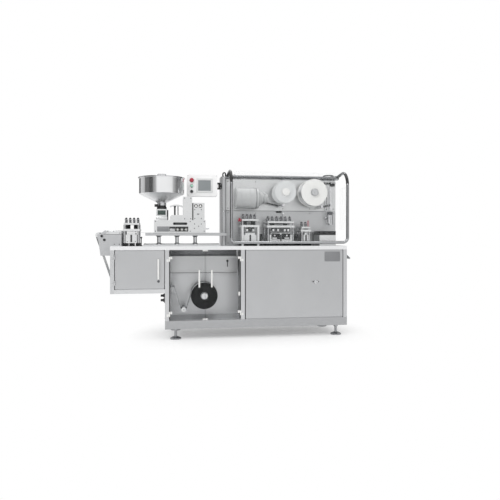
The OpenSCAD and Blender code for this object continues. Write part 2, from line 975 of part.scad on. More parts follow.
// Upper die, head plate, rams and cap of one station
module press_head(s) {
    head_z = [film_z + s[2], film_z + s[2] + head_t];
    cap_half = s[1] / 2 - cap_in / 2;
    difference() {
        union() {
            span([s[0] - s[1] / 2, s[0] + s[1] / 2], station_y, head_z);
            span([s[0] - s[1] / 2 + die_in, s[0] + s[1] / 2 - die_in], station_y + [guide_in, -guide_in],
                 [film_z + die_gap, head_z[0]]);
            for (side = [-1, 1])
                bar_z(s[0] + side * ram_share * s[1], y0 + film_y, [head_z[1], film_z + s[3]], ram_r);
            span([s[0] - cap_half, s[0] + cap_half], station_y, [film_z + s[3], film_z + s[3] + cap_t]);
        }
        guide_posts(s, [film_z, film_z + s[3]]);
    }
}

// Flat portal that stands on the table before a station's head
module front_portal(s) {
    y = [station_y[0] - portal_t, station_y[0]];
    z = film_z + s[2] + head_t;
    for (side = [-1, 1]) {
        x = s[0] + side * (s[1] - portal_w) / 2;
        span([x - portal_w / 2, x + portal_w / 2], y, [top_z, z]);
    }
    span([s[0] - s[1] / 2, s[0] + s[1] / 2], y, [z - portal_w, z]);
}

module station_heads() {
    color("gainsboro") {
        for (s = stations)
            press_head(s);
        front_portal(portal);
    }
}

// Stud with a spring and a nut
module spring_stud() {
    cylinder(r = stud_r, h = stud_h);
    for (i = [0 : coil_n - 1])
        translate([0, 0, i * coil_pitch])
            cylinder(r = spring_r, h = coil_t);
    translate([0, 0, stud_h - nut_h])
        cylinder(r = nut_r, h = nut_h, $fn = 6);
}

// Springs on the caps, the forming station's lever and the control box's dials
module station_knobs() {
    lever = [stations[0][0] + stations[0][1] / 2 + lever_off, station_y[0] + guide_in];
    color("dimgray") {
        for (s = stations, i = [0 : s[4] - 1])
            translate([s[0] + (i - (s[4] - 1) / 2) * s[5], y0 + film_y, film_z + s[3] + cap_t])
                spring_stud();
        bar_z(lever[0], lever[1], [top_z, top_z + lever_h], lever_r);
        translate([lever[0], lever[1], top_z + lever_h])
            sphere(ball_r);
        for (x = dial_xs)
            bar_y(x, [box_y[0] - dial_out, box_y[0]], dial_z, dial_r);
    }
}

// Feeder

// Turned legs on a flat rail
module feeder_legs() {
    h = track_z - top_z - rail_h;
    color("silver") {
        span(rail_x, [y0 + film_y - rail_w / 2, y0 + film_y + rail_w / 2], [top_z, top_z + rail_h]);
        for (x = leg_xs)
            translate([x, y0 + film_y, top_z + rail_h])
                rotate_extrude()
                    polygon([
                        [0, 0], [leg_foot_r, 0], [leg_foot_r, leg_foot_h], [leg_r, leg_foot_h + leg_flare],
                        [leg_r, h - leg_head], [leg_r + leg_head, h], [0, h],
                    ]);
    }
}

module feeder_track() {
    color("lightgray")
        span(track_x, [y0 + film_y - track_w / 2, y0 + film_y + track_w / 2], [track_z, film_z - film_off]);
}

module feeder_body() {
    side_z = [film_z - film_off, feeder_z];
    front = feeder_y[0];
    color("silver")
        difference() {
            union() {
                span(feeder_x, feeder_y, [feeder_z, feeder_top]);
                for (y = [y0 + film_y - track_w / 2, y0 + film_y + track_w / 2 - side_t])
                    span(feeder_x, [y, y + side_t], side_z);
            }
            round_plate(slot_x, [front - cut, front + feeder_wall], slot_z, slot_r);
            span(window_x, [front - cut, front + feeder_wall], window_z);
            span([window_x[0] + window_plate, window_x[1]], [front, front + window_d], window_z);
        }
}

module feeder_neck() {
    half = gate_w / 2;
    collar_z = gate_z + gate_h;
    clamp_z = collar_z + neck_collar_h;
    color("dimgray") {
        bar_z(hopper_x, hopper_y, [feeder_top, gate_z], half);
        difference() {
            span([hopper_x - half, hopper_x + half], [hopper_y - half, hopper_y + half], [gate_z, collar_z]);
            span([hopper_x - half + gate_frame, hopper_x + half - gate_frame],
                 [hopper_y - half - cut, hopper_y - half + gate_sink],
                 [gate_z + gate_frame, collar_z - gate_frame]);
        }
        bar_z(hopper_x, hopper_y, [collar_z, clamp_z], outlet_r + hub_nose);
        bar_z(hopper_x, hopper_y, [clamp_z, clamp_z + neck_clamp_h], outlet_r);
        bar_z(hopper_x, hopper_y, [clamp_z + neck_clamp_h, hopper_z], outlet_r - hopper_t);
        span([hopper_x - half - lug_l / 2, hopper_x], [hopper_y - lug_w / 2, hopper_y + lug_w / 2],
             [clamp_z, clamp_z + neck_clamp_h]);
        bar_z(hopper_x + half + neck_post_r, hopper_y - half / 2, [feeder_top, feeder_top + neck_post_h],
              neck_post_r);
    }
}

module feeder_column() {
    y = feeder_y + [inset_y, -inset_y];
    color("silver") {
        span(column_x, y, [feeder_top, feeder_top + column_h]);
        translate([0, y[1], feeder_top])
            rotate([90, 0, 0])
                linear_extrude(y[1] - y[0])
                    polygon([
                        [hood_x[0], 0], [hood_x[1], 0], [hood_x[1], hood_h], [hood_x[0] + hood_slant, hood_h],
                        [hood_x[0], hood_h - hood_slant],
                    ]);
        for (side = [-1, 1])
            bar_z(stay_x + side * stay_off, hopper_y, [feeder_top + hood_h, arc_z - arc_t / 2], stay_r);
        translate([stay_x, hopper_y + arc_w / 2, arc_z - arc_r])
            rotate([90, 0, 0])
                rotate([0, 0, 90 - arc_turn])
                    rotate_extrude(angle = 2 * arc_turn)
                        translate([arc_r - arc_t, 0])
                            square([arc_t, arc_w]);
    }
}

module control_box() {
    slot = [(box_plate_x[0] + box_plate_x[1]) / 2, (box_plate_z[0] + box_plate_z[1]) / 2];
    color("gainsboro")
        difference() {
            union() {
                span(box_x, box_y, [feeder_top, feeder_top + box_h]);
                span(box_plate_x, [box_y[0] - box_plate_t, box_y[0]], box_plate_z);
            }
            span([slot[0] - box_slot_w / 2, slot[0] + box_slot_w / 2], [box_y[0] - box_plate_t - cut, box_y[0]],
                 [slot[1] - box_slot_h / 2, slot[1] + box_slot_h / 2]);
        }
}

module hopper() {
    color("silver")
        translate([hopper_x, hopper_y, 0])
            rotate_extrude()
                polygon([
                    [outlet_r - hopper_t, hopper_z], [outlet_r, hopper_z], [hopper_r, drum_z],
                    [hopper_r, rim_z - rim_t], [rim_r, rim_z - rim_t], [rim_r, rim_z],
                    [hopper_r - hopper_t, rim_z], [hopper_r - hopper_t, drum_z],
                ]);
}

module hopper_lid() {
    grip_l = 84;
    grip_h = 20;
    grip_r = 5;
    color("silver")
        translate([hopper_x, hopper_y, 0]) {
            translate([0, 0, rim_z])
                cylinder(r = rim_r, h = lid_t);
            translate([0, 0, rim_z - lid_plug])
                cylinder(r = hopper_r - hopper_t - lid_plug_gap, h = lid_plug);
            for (s = [-1, 1])
                bar_z(s * (grip_l / 2 - grip_r), 0, [rim_z + lid_t, rim_z + lid_t + grip_h], grip_r);
            bar_x([-grip_l / 2, grip_l / 2], 0, rim_z + lid_t + grip_h, grip_r);
        }
}

// Control panel

module hmi_bracket() {
    color("black") {
        bar_x([pillar_x[0] - bracket_foot, pillar_x[0]], swivel[1], hmi_mid, bracket_h / 2 - bracket_foot);
        bar_x([swivel[0], pillar_x[0]], swivel[1], hmi_mid, bracket_neck);
        bar_z(swivel[0], swivel[1], [hmi_mid - bracket_h / 2, hmi_mid + bracket_h / 2], swivel_r);
    }
}

// Two bored ears and a back plate, which turn on the bracket's pin
module hmi_yoke() {
    ears = [
        [hmi_mid - bracket_h / 2, hmi_mid - bracket_h / 2 + ear_h],
        [hmi_mid + bracket_h / 2 - ear_h, hmi_mid + bracket_h / 2],
    ];
    color("black")
        difference() {
            union() {
                for (e = ears) {
                    span([hmi_x[1], swivel[0]], [swivel[1] - ear_r, swivel[1] + ear_r], e);
                    bar_z(swivel[0], swivel[1], e, ear_r);
                }
                span([hmi_x[1], hmi_x[1] + bracket_foot], [swivel[1] - 2 * ear_r, swivel[1] + 2 * ear_r],
                     [hmi_mid - bracket_h / 2, hmi_mid + bracket_h / 2]);
            }
            bar_z(swivel[0], swivel[1], [hmi_mid - bracket_h, hmi_mid + bracket_h], swivel_r + fit_gap);
        }
}

module hmi_box() {
    color("white")
        difference() {
            union() {
                round_plate(hmi_x, hmi_y, [hmi_z, hmi_z + hmi_h], hmi_corner);
                span(screen_x + [-bezel_w, bezel_w], [hmi_y[0] - bezel_t, hmi_y[0]],
                     screen_z + [-bezel_w, bezel_w]);
            }
            span(screen_x, [hmi_y[0] - bezel_t - cut, hmi_y[0]], screen_z);
        }
}

module hmi_screen() {
    color("dimgray")
        span(screen_x, [hmi_y[0] - screen_t, hmi_y[0]], screen_z);
}

module hmi_buttons() {
    color("black")
        for (z = button_zs)
            bar_y(button_x, [hmi_y[0] - button_out, hmi_y[0]], z, button_r);
}

module emergency_stop() {
    color("red")
        translate([button_x, hmi_y[0], stop_z])
            rotate([90, 0, 0])
                rotate_extrude()
                    polygon([
                        [0, 0], [stop_neck, 0], [stop_neck, stop_out / 2], [stop_r, stop_out / 2],
                        [stop_r, stop_out - stop_edge], [stop_r - stop_edge, stop_out], [0, stop_out],
                    ]);
}

// Rear housing and guard

module rear_housing() {
    color("gainsboro") {
        span(housing_x, [wall_front + wall_t, y1], housing_z);
        span(housing_x, [rise_y, y1], [housing_top, hinge_z]);
        span(pillar_x, [wall_front - pillar_d, wall_front + wall_t], housing_z + [0, pillar_rise]);
    }
}

module wall_plates() {
    x = [pillar_x[1], housing_x[1]];
    color("lightgray") {
        span(x, [wall_front, wall_front + wall_t], [top_z, seam_z - seam_gap]);
        span(x, [wall_front, wall_front + wall_t], [seam_z, housing_top]);
    }
}

module guard_hinge_rail() {
    xs = [guard_x[0] + bracket_in, (guard_x[0] + guard_x[1]) / 2, guard_x[1] - bracket_in];
    rings = [guard_x[0] + stop_ring_in, guard_x[1] - stop_ring_in];
    color("silver") {
        bar_x([guard_x[0] - collar_l / 2, guard_x[1] + collar_l / 2], wall_front, hinge_z, hinge_r);
        for (x = xs)
            span([x - bracket_w / 2, x + bracket_w / 2], [wall_front, wall_front + 2 * wall_t],
                 [housing_top, hinge_z]);
        for (x = rings)
            bar_x([x, x + stop_ring_l], wall_front, hinge_z, stop_ring_r);
    }
}

// Quarter bend of tube in the plane of the guard's front, at a lower corner
module corner_bend(x, side) {
    translate([x - side * guard_corner, guard_y, guard_z + guard_corner])
        rotate([90, 0, 0])
            rotate([0, 0, side > 0 ? -90 : 180])
                rotate_extrude(angle = 90)
                    translate([guard_corner, 0])
                        circle(guard_r);
}

// Post, top bend and sloping arm of the guard on one side, with its hinge collar
module guard_arm(x) {
    bar_z(x, guard_y, [guard_z + guard_corner, bend_z], guard_r);
    translate([x, bend_y, bend_z])
        rotate([90, 0, 90])
            rotate([0, 0, 90 - guard_slope])
                rotate_extrude(angle = 90 + guard_slope)
                    translate([guard_bend, 0])
                        circle(guard_r);
    translate([x, wall_front, hinge_z])
        rotate([90 - guard_slope, 0, 0])
            cylinder(r = guard_r, h = arm_run / cos(guard_slope));
    bar_x([x - collar_l / 2, x + collar_l / 2], wall_front, hinge_z, collar_r);
}

// Weld over the joint between a bend and a straight tube
module tube_weld(pos, turn) {
    translate(pos)
        rotate(turn)
            translate([0, 0, -weld_l / 2])
                cylinder(r = guard_r + weld_t, h = weld_l);
}

module guard_frame() {
    color("silver")
        difference() {
            union() {
                for (x = guard_x) {
                    guard_arm(x);
                    tube_weld([x, guard_y, guard_z + guard_corner], [0, 0, 0]);
                    tube_weld([x, guard_y, bend_z], [0, 0, 0]);
                    tube_weld([x, wall_front - arm_run, hinge_z + arm_run * tan(guard_slope)],
                              [90 - guard_slope, 0, 0]);
                }
                for (side = [0, 1]) {
                    corner_bend(guard_x[side], 2 * side - 1);
                    tube_weld([guard_x[side] + (1 - 2 * side) * guard_corner, guard_y, guard_z], [0, 90, 0]);
                }
                bar_x([guard_x[0] + guard_corner, guard_x[1] - guard_corner], guard_y, guard_z, guard_r);
            }
            bar_x([guard_x[0] - collar_l, guard_x[1] + collar_l], wall_front, hinge_z, hinge_r + fit_gap);
        }
}

// Flat front pane, round at its lower corners where it meets the bent tube
module front_pane(x, z) {
    r = guard_corner - guard_r - pane_gap;
    translate([x[0], guard_y + pane_t / 2, z[0]])
        rotate([90, 0, 0])
            linear_extrude(pane_t) {
                w = x[1] - x[0];
                translate([0, r])
                    square([w, z[1] - z[0] - r]);
                translate([r, 0])
                    square([w - 2 * r, r]);
                for (cx = [r, w - r])
                    translate([cx, r])
                        circle(r);
            }
}

module guard_panes() {
    x = [guard_x[0] + guard_r + pane_gap, guard_x[1] - guard_r - pane_gap];
    top_l = arm_run / cos(guard_slope) - collar_r - 2 * collar_gap;
    color("lightblue", 0.3) {
        front_pane(x, [guard_z + guard_r + pane_gap, bend_z]);
        translate([x[0], bend_y, bend_z + pane_gap])
            rotate([90, 0, 90])
                rotate([0, 0, 90 - guard_slope])
                    rotate_extrude(angle = 90 + guard_slope)
                        translate([guard_bend - pane_t / 2, 0])
                            square([pane_t, x[1] - x[0]]);
        translate([x[0], wall_front, hinge_z])
            rotate([-guard_slope, 0, 0])
                translate([0, -arm_run / cos(guard_slope) + pane_gap, -pane_t / 2])
                    cube([x[1] - x[0], top_l, pane_t]);
        span([guard_x[1] - pane_t / 2, guard_x[1] + pane_t / 2], end_pane_y, end_pane_z);
    }
}

// Fittings on the rear wall

module winder_motor() {
    tail_x = motor_x[1] + motor_flange_t;
    ring_pitch = (motor_x[1] - motor_x[0]) / motor_ring_n;
    color("gainsboro") {
        bar_x(motor_x, motor_y, motor_z, motor_r);
        for (i = [0 : motor_ring_n - 1])
            translate([i * ring_pitch, 0, 0])
                bar_x([motor_x[0], motor_x[0] + motor_ring_t], motor_y, motor_z, motor_r + motor_ring_t);
        bar_x([motor_x[1], tail_x], motor_y, motor_z, motor_flange_r);
        bar_x([tail_x, tail_x + motor_tail_l], motor_y, motor_z, motor_tail_r);
        span([motor_x[0] + motor_seat_in, motor_x[1] - motor_seat_in], [motor_y, wall_front],
             [motor_z - motor_seat_h, motor_z + motor_seat_h]);
    }
}

// Arm on a boss of the wall with a deflecting roller at its tip
module dancer_arm(a) {
    pivot = a[0];
    tip = a[1];
    y = [wall_front - a[2], wall_front - a[2] + arm_t];
    bar_y(pivot[0], [y[0] - arm_lip, wall_front], pivot[1], arm_boss_r);
    translate([pivot[0], y[0], pivot[1]])
        rotate([0, -heading(pivot, tip), 0])
            translate([0, 0, -arm_w / 2])
                cube([norm(tip - pivot), arm_t, arm_w]);
    bar_y(tip[0], [film_ys[0], y[1] + arm_lip], tip[1], arm_roll_r);
}

module wall_fittings() {
    pillar_mid = (pillar_x[0] + pillar_x[1]) / 2;
    color("silver") {
        for (x = slide_xs)
            span([x, x + slide_w], [wall_front - slide_w, wall_front],
                 [seam_z + slide_rise, housing_top - slide_drop]);
        for (a = dancers)
            dancer_arm(a);
        difference() {
            span(stand_x, [wall_front - stand_d, wall_front], stand_z);
            span(stand_x + [stand_wall, -stand_wall], [wall_front - stand_d - cut, wall_front - stand_wall],
                 stand_z + [stand_wall, -stand_wall]);
        }
        bar_x([stand_knob[0], stand_x[0]], wall_front - stand_d / 2, stand_knob[1], fitting_r);
        bar_y(pillar_mid, [wall_front - pillar_d - fitting_out, wall_front - pillar_d], pillar_knob_z,
              fitting_r);
        bar_y(tag_x, [wall_front - fitting_out, wall_front], seam_z - fitting_out, fitting_r);
        bar_z(tag_x, wall_front - fitting_out / 2,
              [seam_z - fitting_out - tag_rod_l, seam_z - fitting_out], tag_rod_r);
        bar_x([feeder_x[1], feeder_x[1] + tap_l], y0 + film_y, tap_z, tap_r);
        bar_y(feeder_x[1] + tap_l - tap_r, [y0 + film_y - tap_grip, y0 + film_y], tap_z, tap_r);
    }
}

// Outfeed and connections

module outfeed() {
    lip_z = table_z - chute_drop;
    color("silver") {
        span(outfeed_x, station_y, [top_z, film_z - film_off - outfeed_dip]);
        translate([0, y0 + film_y + chute_w / 2, 0])
            rotate([90, 0, 0])
                linear_extrude(chute_w)
                    polygon([
                        [x1, lip_z], [x1 + chute_out, lip_z - chute_fall],
                        [x1 + chute_out, lip_z - chute_fall - chute_t], [x1, lip_z - chute_t],
                    ]);
    }
}

// Plate with two cable glands
module power_inlet() {
    plate_x = x0 - gland_plate_t;
    color("black") {
        span([plate_x, x0], [gland_y - gland_plate_w / 2, gland_y + gland_plate_w / 2],
             [gland_z - gland_plate_h / 2, gland_z + gland_plate_h / 2]);
        for (side = [-1, 1]) {
            z = gland_z + side * gland_pitch / 2;
            bar_x([plate_x - gland_l, plate_x], gland_y, z, gland_r);
            bar_x([plate_x - gland_nut_l, plate_x], gland_y, z, gland_nut_r);
        }
    }
}

levelling_feet();
frame_rails();
frame_posts();
cabinet_floor();
skin_panels();
bay_partition();
reel_wall();
bay_cover();
table_top();
door_pivots();
wing_door();
wing_handle();
clear_hinges();
clear_door_left();
clear_left_fittings();
clear_door_right();
clear_right_fittings();
main_door();
main_lock();
reel_spindles();
reel_flanges();
film_roll();
reel_hub();
film_guides();
infeed_roller();
bay_roller();
film_web();
station_bases();
station_blocks();
station_posts();
station_heads();
station_knobs();
feeder_legs();
feeder_track();
feeder_body();
feeder_neck();
feeder_column();
control_box();
hopper();
hopper_lid();
hmi_bracket();
hmi_yoke();
hmi_box();
hmi_screen();
hmi_buttons();
emergency_stop();
rear_housing();
wall_plates();
guard_hinge_rail();
guard_frame();
guard_panes();
foil_flanges();
foil_roll();
foil_hub();
winder_flanges();
winder_hub();
winder_motor();
wall_fittings();
outfeed();
power_inlet();
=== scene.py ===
import math
from collections import namedtuple

import bmesh
import bpy
from mathutils import Matrix, Vector


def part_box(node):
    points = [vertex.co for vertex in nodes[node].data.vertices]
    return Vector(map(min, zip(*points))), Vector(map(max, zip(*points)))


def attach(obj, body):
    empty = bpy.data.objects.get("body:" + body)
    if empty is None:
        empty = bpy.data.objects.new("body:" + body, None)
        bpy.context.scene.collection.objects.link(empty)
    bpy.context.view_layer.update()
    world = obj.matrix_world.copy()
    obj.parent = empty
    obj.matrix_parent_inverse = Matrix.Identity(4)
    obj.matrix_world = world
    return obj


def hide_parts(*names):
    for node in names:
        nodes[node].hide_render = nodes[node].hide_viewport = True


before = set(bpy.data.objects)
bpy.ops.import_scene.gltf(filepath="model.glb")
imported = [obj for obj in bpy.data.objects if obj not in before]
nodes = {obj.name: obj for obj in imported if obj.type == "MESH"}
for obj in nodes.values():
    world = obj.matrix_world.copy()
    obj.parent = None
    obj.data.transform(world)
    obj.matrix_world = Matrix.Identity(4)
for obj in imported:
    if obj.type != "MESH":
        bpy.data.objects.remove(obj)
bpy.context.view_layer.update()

MM = 0.001


def srgb(code):
    """sRGB hex to a linear colour."""
    parts = [int(code[i:i + 2], 16) / 255 for i in (1, 3, 5)]
    return tuple(c / 12.92 if c <= 0.04045 else ((c + 0.055) / 1.055) ** 2.4 for c in parts) + (1.0,)


def put(tree, kind, settings=None, inputs=None):
    """Adds a node, with its settings, and its inputs by value or by link."""
    node = tree.nodes.new(kind)
    for key, value in (settings or {}).items():
        setattr(node, key, value)
    for key, value in (inputs or {}).items():
        if isinstance(value, bpy.types.NodeSocket):
            tree.links.new(value, node.inputs[key])
        else:
            node.inputs[key].default_value = value
    return node


def blank_material(name):
    material = bpy.data.materials.new(name)
    material.use_nodes = True
    material.node_tree.nodes.clear()
    return material, material.node_tree


def coat(material, on):
    """Gives a material to the nodes named in a row of words."""
    for name in on.split():
        for holder in nodes[name].material_slots:
            holder.material = material
    return material


# Finishes: each pattern gives a value from 0 to 1 over the surface, at a size in millimetres

def surface(tree):
    return put(tree, "ShaderNodeTexCoord").outputs["Object"]


def brushed(tree, along, width=0.7, length=60):
    """Fine lines of a grinding belt, drawn out along an axis or two."""
    stretch = [1 / (width * MM)] * 3
    for axis in along:
        stretch["XYZ".index(axis)] = 1 / (length * MM)
    place = put(tree, "ShaderNodeMapping", None, {"Vector": surface(tree), "Scale": stretch})
    return put(tree, "ShaderNodeTexNoise", None, {
        "Vector": place.outputs["Vector"], "Scale": 1.0, "Detail": 2.0, "Roughness": 0.6}).outputs["Fac"]


def cloudy(tree, size):
    """Soft patches, as handling and wiping leave them."""
    return put(tree, "ShaderNodeTexNoise", None, {
        "Vector": surface(tree), "Scale": 1 / (size * MM), "Detail": 3.0, "Roughness": 0.55}).outputs["Fac"]


def step(tree, height, soft, below, above):
    """One value below a height and another above it."""
    place = put(tree, "ShaderNodeSeparateXYZ", None, {0: surface(tree)})
    return put(tree, "ShaderNodeMapRange", None, {
        "Value": place.outputs["Z"], "From Min": (height - soft) * MM, "From Max": (height + soft) * MM,
        "To Min": below, "To Max": above}).outputs["Result"]


def shaded_below(height):
    """Painted shade: two sheets that meet at a height, the lower one shown darker than the upper."""
    return lambda tree: step(tree, height, 2, 0.1, 0.9)


def spun_rings(height):
    """Fine rings of a spun drum, duller on the cone below a height."""
    return lambda tree: put(tree, "ShaderNodeMath", {"operation": "MULTIPLY_ADD"}, {
        0: brushed(tree, "XY", 1.2, 400), 1: 0.6, 2: step(tree, height, 3, 0.45, 0.0)}).outputs["Value"]


def pattern(tree, kind):
    """Grain for an axis with its sizes, patches for a size, or a pattern of its own."""
    if isinstance(kind, tuple):
        return brushed(tree, *kind)
    return kind(tree) if callable(kind) else cloudy(tree, kind)


def shade(tree, inputs, shader):
    """Principled shader, with further inputs by name."""
    inputs.update({key.replace("_", " "): value for key, value in shader.items()})
    bsdf = put(tree, "ShaderNodeBsdfPrincipled", None, inputs)
    put(tree, "ShaderNodeOutputMaterial", None, {"Surface": bsdf.outputs["BSDF"]})


def finish(name, tones, roughs, fine, broad, bump=0.0, on="", **shader):
    """Material whose colour follows both patterns and whose roughness and bumps follow the fine one."""
    material, tree = blank_material(name)
    fine_fac, broad_fac = pattern(tree, fine), pattern(tree, broad)
    both = put(tree, "ShaderNodeMix", None, {0: 0.5, 2: fine_fac, 3: broad_fac})
    colour = put(tree, "ShaderNodeMix", {"data_type": "RGBA"}, {
        0: both.outputs[0], 6: srgb(tones[0]), 7: srgb(tones[1])})
    rough = put(tree, "ShaderNodeMapRange", None, {
        "Value": fine_fac, "From Min": 0.25, "From Max": 0.75, "To Min": roughs[0], "To Max": roughs[1]})
    inputs = {"Base Color": colour.outputs[2], "Roughness": rough.outputs["Result"]}
    if bump:
        inputs["Normal"] = put(tree, "ShaderNodeBump", None, {
            "Strength": bump, "Distance": 0.1 * MM, "Height": fine_fac}).outputs["Normal"]
    shade(tree, inputs, shader)
    return coat(material, on)


def satin(name, tones, roughs, fine, broad, on=""):
    return finish(name, tones, roughs, fine, broad, 0.04, on, Metallic=1.0)


def see_through(name, tint, clear, edge, rough, on, **shader):
    """Clear sheet: little shows face on, more where the surface turns away."""
    material, tree = blank_material(name)
    turn = put(tree, "ShaderNodeLayerWeight", None, {"Blend": 0.25})
    haze = put(tree, "ShaderNodeMapRange", None, {
        "Value": cloudy(tree, 60), "From Min": 0.3, "From Max": 0.7, "To Min": 0.85, "To Max": 1.15})
    amount = put(tree, "ShaderNodeMapRange", None, {
        "Value": turn.outputs["Facing"], "To Min": clear, "To Max": edge})
    alpha = put(tree, "ShaderNodeMath", {"operation": "MULTIPLY"}, {
        0: amount.outputs["Result"], 1: haze.outputs["Result"]})
    shade(tree, {"Base Color": srgb(tint), "Alpha": alpha.outputs["Value"], "Roughness": rough}, shader)
    coat(material, on)


LEVEL, UPRIGHT, CROSS, DRAWN = ("X",), ("Z",), ("Y",), ("X", 0.6, 20)
# Stainless sheet with a ground satin finish: grey, softly streaked, a blurred reflection
satin("stainless_satin_level_grain", ("#B4B5B7", "#C9CACB"), (0.26, 0.4), LEVEL, 240, "rear_housing")
satin("stainless_satin_upright_grain", ("#BABBBD", "#CFD0D1"), (0.26, 0.4), UPRIGHT, 240,
      "frame_posts skin_panels")
door_steel = satin("stainless_satin_door_sheet", ("#AFB0B2", "#C3C4C5"), (0.3, 0.44), UPRIGHT, 320,
                   "wing_door main_door")
satin("stainless_satin_inner_sheet", ("#C0C1C3", "#D3D4D5"), (0.34, 0.48), LEVEL, 260, "reel_wall")
satin("stainless_satin_bay_floor", ("#C8C9CB", "#DCDDDE"), (0.34, 0.48), LEVEL, 260, "cabinet_floor")
satin("stainless_satin_bay_cover", ("#B2B3B4", "#C1C2C3"), (0.3, 0.42), LEVEL, 260, "bay_cover")
# Painted shade: the base rails darker than the wing's, and the lower wall plate darker than the upper
satin("stainless_satin_rails", ("#8C8D8F", "#E4E5E6"), (0.26, 0.4), LEVEL, shaded_below(300), "frame_rails")
wall_steel = satin("stainless_satin_wall_plate", ("#A3A4A6", "#DFE0E0"), (0.28, 0.42), LEVEL,
                   shaded_below(1205), "wall_plates")
# Painted shade: a dark copy of the satin sheet for the shaded band under the table, above the film bay
bay_shade_steel = satin("stainless_dark_painted_shade", ("#757678", "#88898B"), (0.4, 0.52), LEVEL, 200)
satin("stainless_satin_cross_grain", ("#8E8F91", "#A4A5A6"), (0.34, 0.48), CROSS, 240, "bay_partition")
feeder_steel = satin("stainless_satin_feeder_sheet", ("#CBCCCD", "#E1E2E2"), (0.24, 0.36), ("X", 0.6, 50),
                     110, "feeder_body feeder_column control_box outfeed")
# Table sheet, painted much brighter than the cabinet: painted light for the light its top and front edge
# catch
finish("stainless_table_lit_bright", ("#E0E1E2", "#F2F2F3"), (0.24, 0.36), ("X", 0.5), 200, 0.03,
       "table_top", Metallic=0.9)
# Spun and polished hopper: fine rings round the axis, sharp reflections
finish("stainless_spun_polished", ("#E2E3E4", "#F4F4F5"), (0.12, 0.4), spun_rings(1347), 120, 0.02, "hopper",
       Metallic=1.0)
# Polished bar and tube; the guard tube's and hinge rail's darker tones are painted reflection, standing in
# for the darker reflections they show than the bar
bright_steel = finish("stainless_bar_polished", ("#BEBFC1", "#DADBDC"), (0.06, 0.15), DRAWN, 40, 0,
                      "door_pivots main_lock reel_spindles station_posts feeder_legs wall_fittings",
                      Metallic=1.0)
tube_steel = finish("stainless_tube_polished", ("#909193", "#B6B7B9"), (0.08, 0.16), DRAWN, 40, 0,
                    "guard_frame hopper_lid", Metallic=1.0)
hinge_steel = finish("stainless_rail_polished", ("#696A6D", "#88898B"), (0.1, 0.2), DRAWN, 40, 0,
                     "guard_hinge_rail", Metallic=1.0)
# Zinc-plated feet and cap, duller than the bar
foot_steel = finish("steel_zinc_plated", ("#8E8F92", "#B2B3B5"), (0.2, 0.34), 3, 40, 0, "levelling_feet",
                    Metallic=1.0)
cap_steel = finish("steel_zinc_pale", ("#B4B5B7", "#CBCCCD"), (0.26, 0.4), 3, 30, Metallic=0.9)
# Blackened steel, slightly oily, spring wire, and dark rubber for soft seals and joints that also fills
# slots, gaps and edges as painted shade
black_steel = finish("steel_black_oxide", ("#101112", "#232426"), (0.34, 0.5), 2, 30, 0.1,
                     "station_bases station_knobs", Metallic=0.6)
spring_steel = finish("steel_spring_oiled", ("#4A4B4E", "#6A6B6E"), (0.24, 0.36), 2, 20, Metallic=1.0)
coil_steel = finish("steel_spring_bright_drawn", ("#7C7D80", "#9C9DA0"), (0.2, 0.32), 2, 20, Metallic=1.0)
dark_rubber_and_shade_fill = finish("rubber_dark_and_shade_fill", ("#2B2C2D", "#3C3D3E"), (0.55, 0.7), 1.2, 40, 0.1, IOR=1.52)
# Machined aluminium, close tool marks
machined = finish("aluminium_machined", ("#CDCECF", "#E2E3E3"), (0.28, 0.42), ("X", 0.5, 25), 35, 0.05,
                  "infeed_roller bay_roller station_blocks station_heads reel_hub", Metallic=0.85)
plate_alloy = finish("aluminium_plate_anodised", ("#AEAFB1", "#C1C2C3"), (0.34, 0.46), 1.4, 90, 0.04,
                     "film_guides feeder_track", Metallic=0.8)
# Moulded plastics: fine spark texture, slight colour drift
white_plastic = finish("abs_white_moulded", ("#DDDDDB", "#E9E9E7"), (0.3, 0.42), 0.9, 40, 0.06,
                       "wing_handle clear_hinges clear_left_fittings clear_right_fittings "
                       "foil_flanges winder_hub", IOR=1.53)
black_plastic = finish("abs_black_moulded", ("#0B0B0C", "#171718"), (0.3, 0.46), 0.9, 30, 0.08,
                       "reel_flanges feeder_neck hmi_bracket hmi_yoke hmi_buttons power_inlet", IOR=1.53)
reel_black = finish("abs_black_matt_disc", ("#070708", "#101011"), (0.42, 0.56), 0.9, 30, 0.06,
                    IOR=1.53, Specular_IOR_Level=0.14)
finish("abs_grey_moulded", ("#9FA1A3", "#B5B7B8"), (0.34, 0.5), 0.9, 30, 0.06, "foil_hub", IOR=1.53)
red_plastic = finish("abs_red_moulded", ("#961830", "#B02840"), (0.22, 0.34), 0.9, 20, 0.04, "emergency_stop",
                     IOR=1.53)
green_plastic = finish("abs_green_moulded", ("#8FC4AB", "#A9D6C0"), (0.22, 0.34), 0.9, 20, 0.04, IOR=1.53)
# Powder coat and enamel: fine orange peel
finish("steel_powder_coat_white", ("#E9E9E9", "#F2F2F2"), (0.36, 0.48), 1.6, 120, 0.1, "hmi_box", IOR=1.5)
bezel_coat = finish("steel_powder_coat_pale_grey", ("#CFD0D0", "#D9DADA"), (0.36, 0.48), 1.6, 120, 0.1,
                    IOR=1.5)
motor_enamel = finish("cast_iron_enamel_pale", ("#ABADAE", "#BFC0C0"), (0.3, 0.42), 1.8, 60, 0.1,
                      "winder_motor", IOR=1.5)
# Bare plate, dull anodised grey
blank_plate = finish("aluminium_plate_dull_grey", ("#7E7F81", "#8E8F91"), (0.42, 0.55), 1.2, 60, 0.04,
                     Metallic=0.5)
# Film and foil on their rolls: edges of many layers
finish("pvc_film_wound", ("#BDC2C5", "#DDE0E2"), (0.2, 0.34), 1.2, 30, 0.05, "film_roll", IOR=1.54)
finish("aluminium_foil_wound", ("#C9CACB", "#E6E6E7"), (0.24, 0.36), ("Y", 0.8, 40), 30, 0.05, "foil_roll",
       Metallic=0.9)
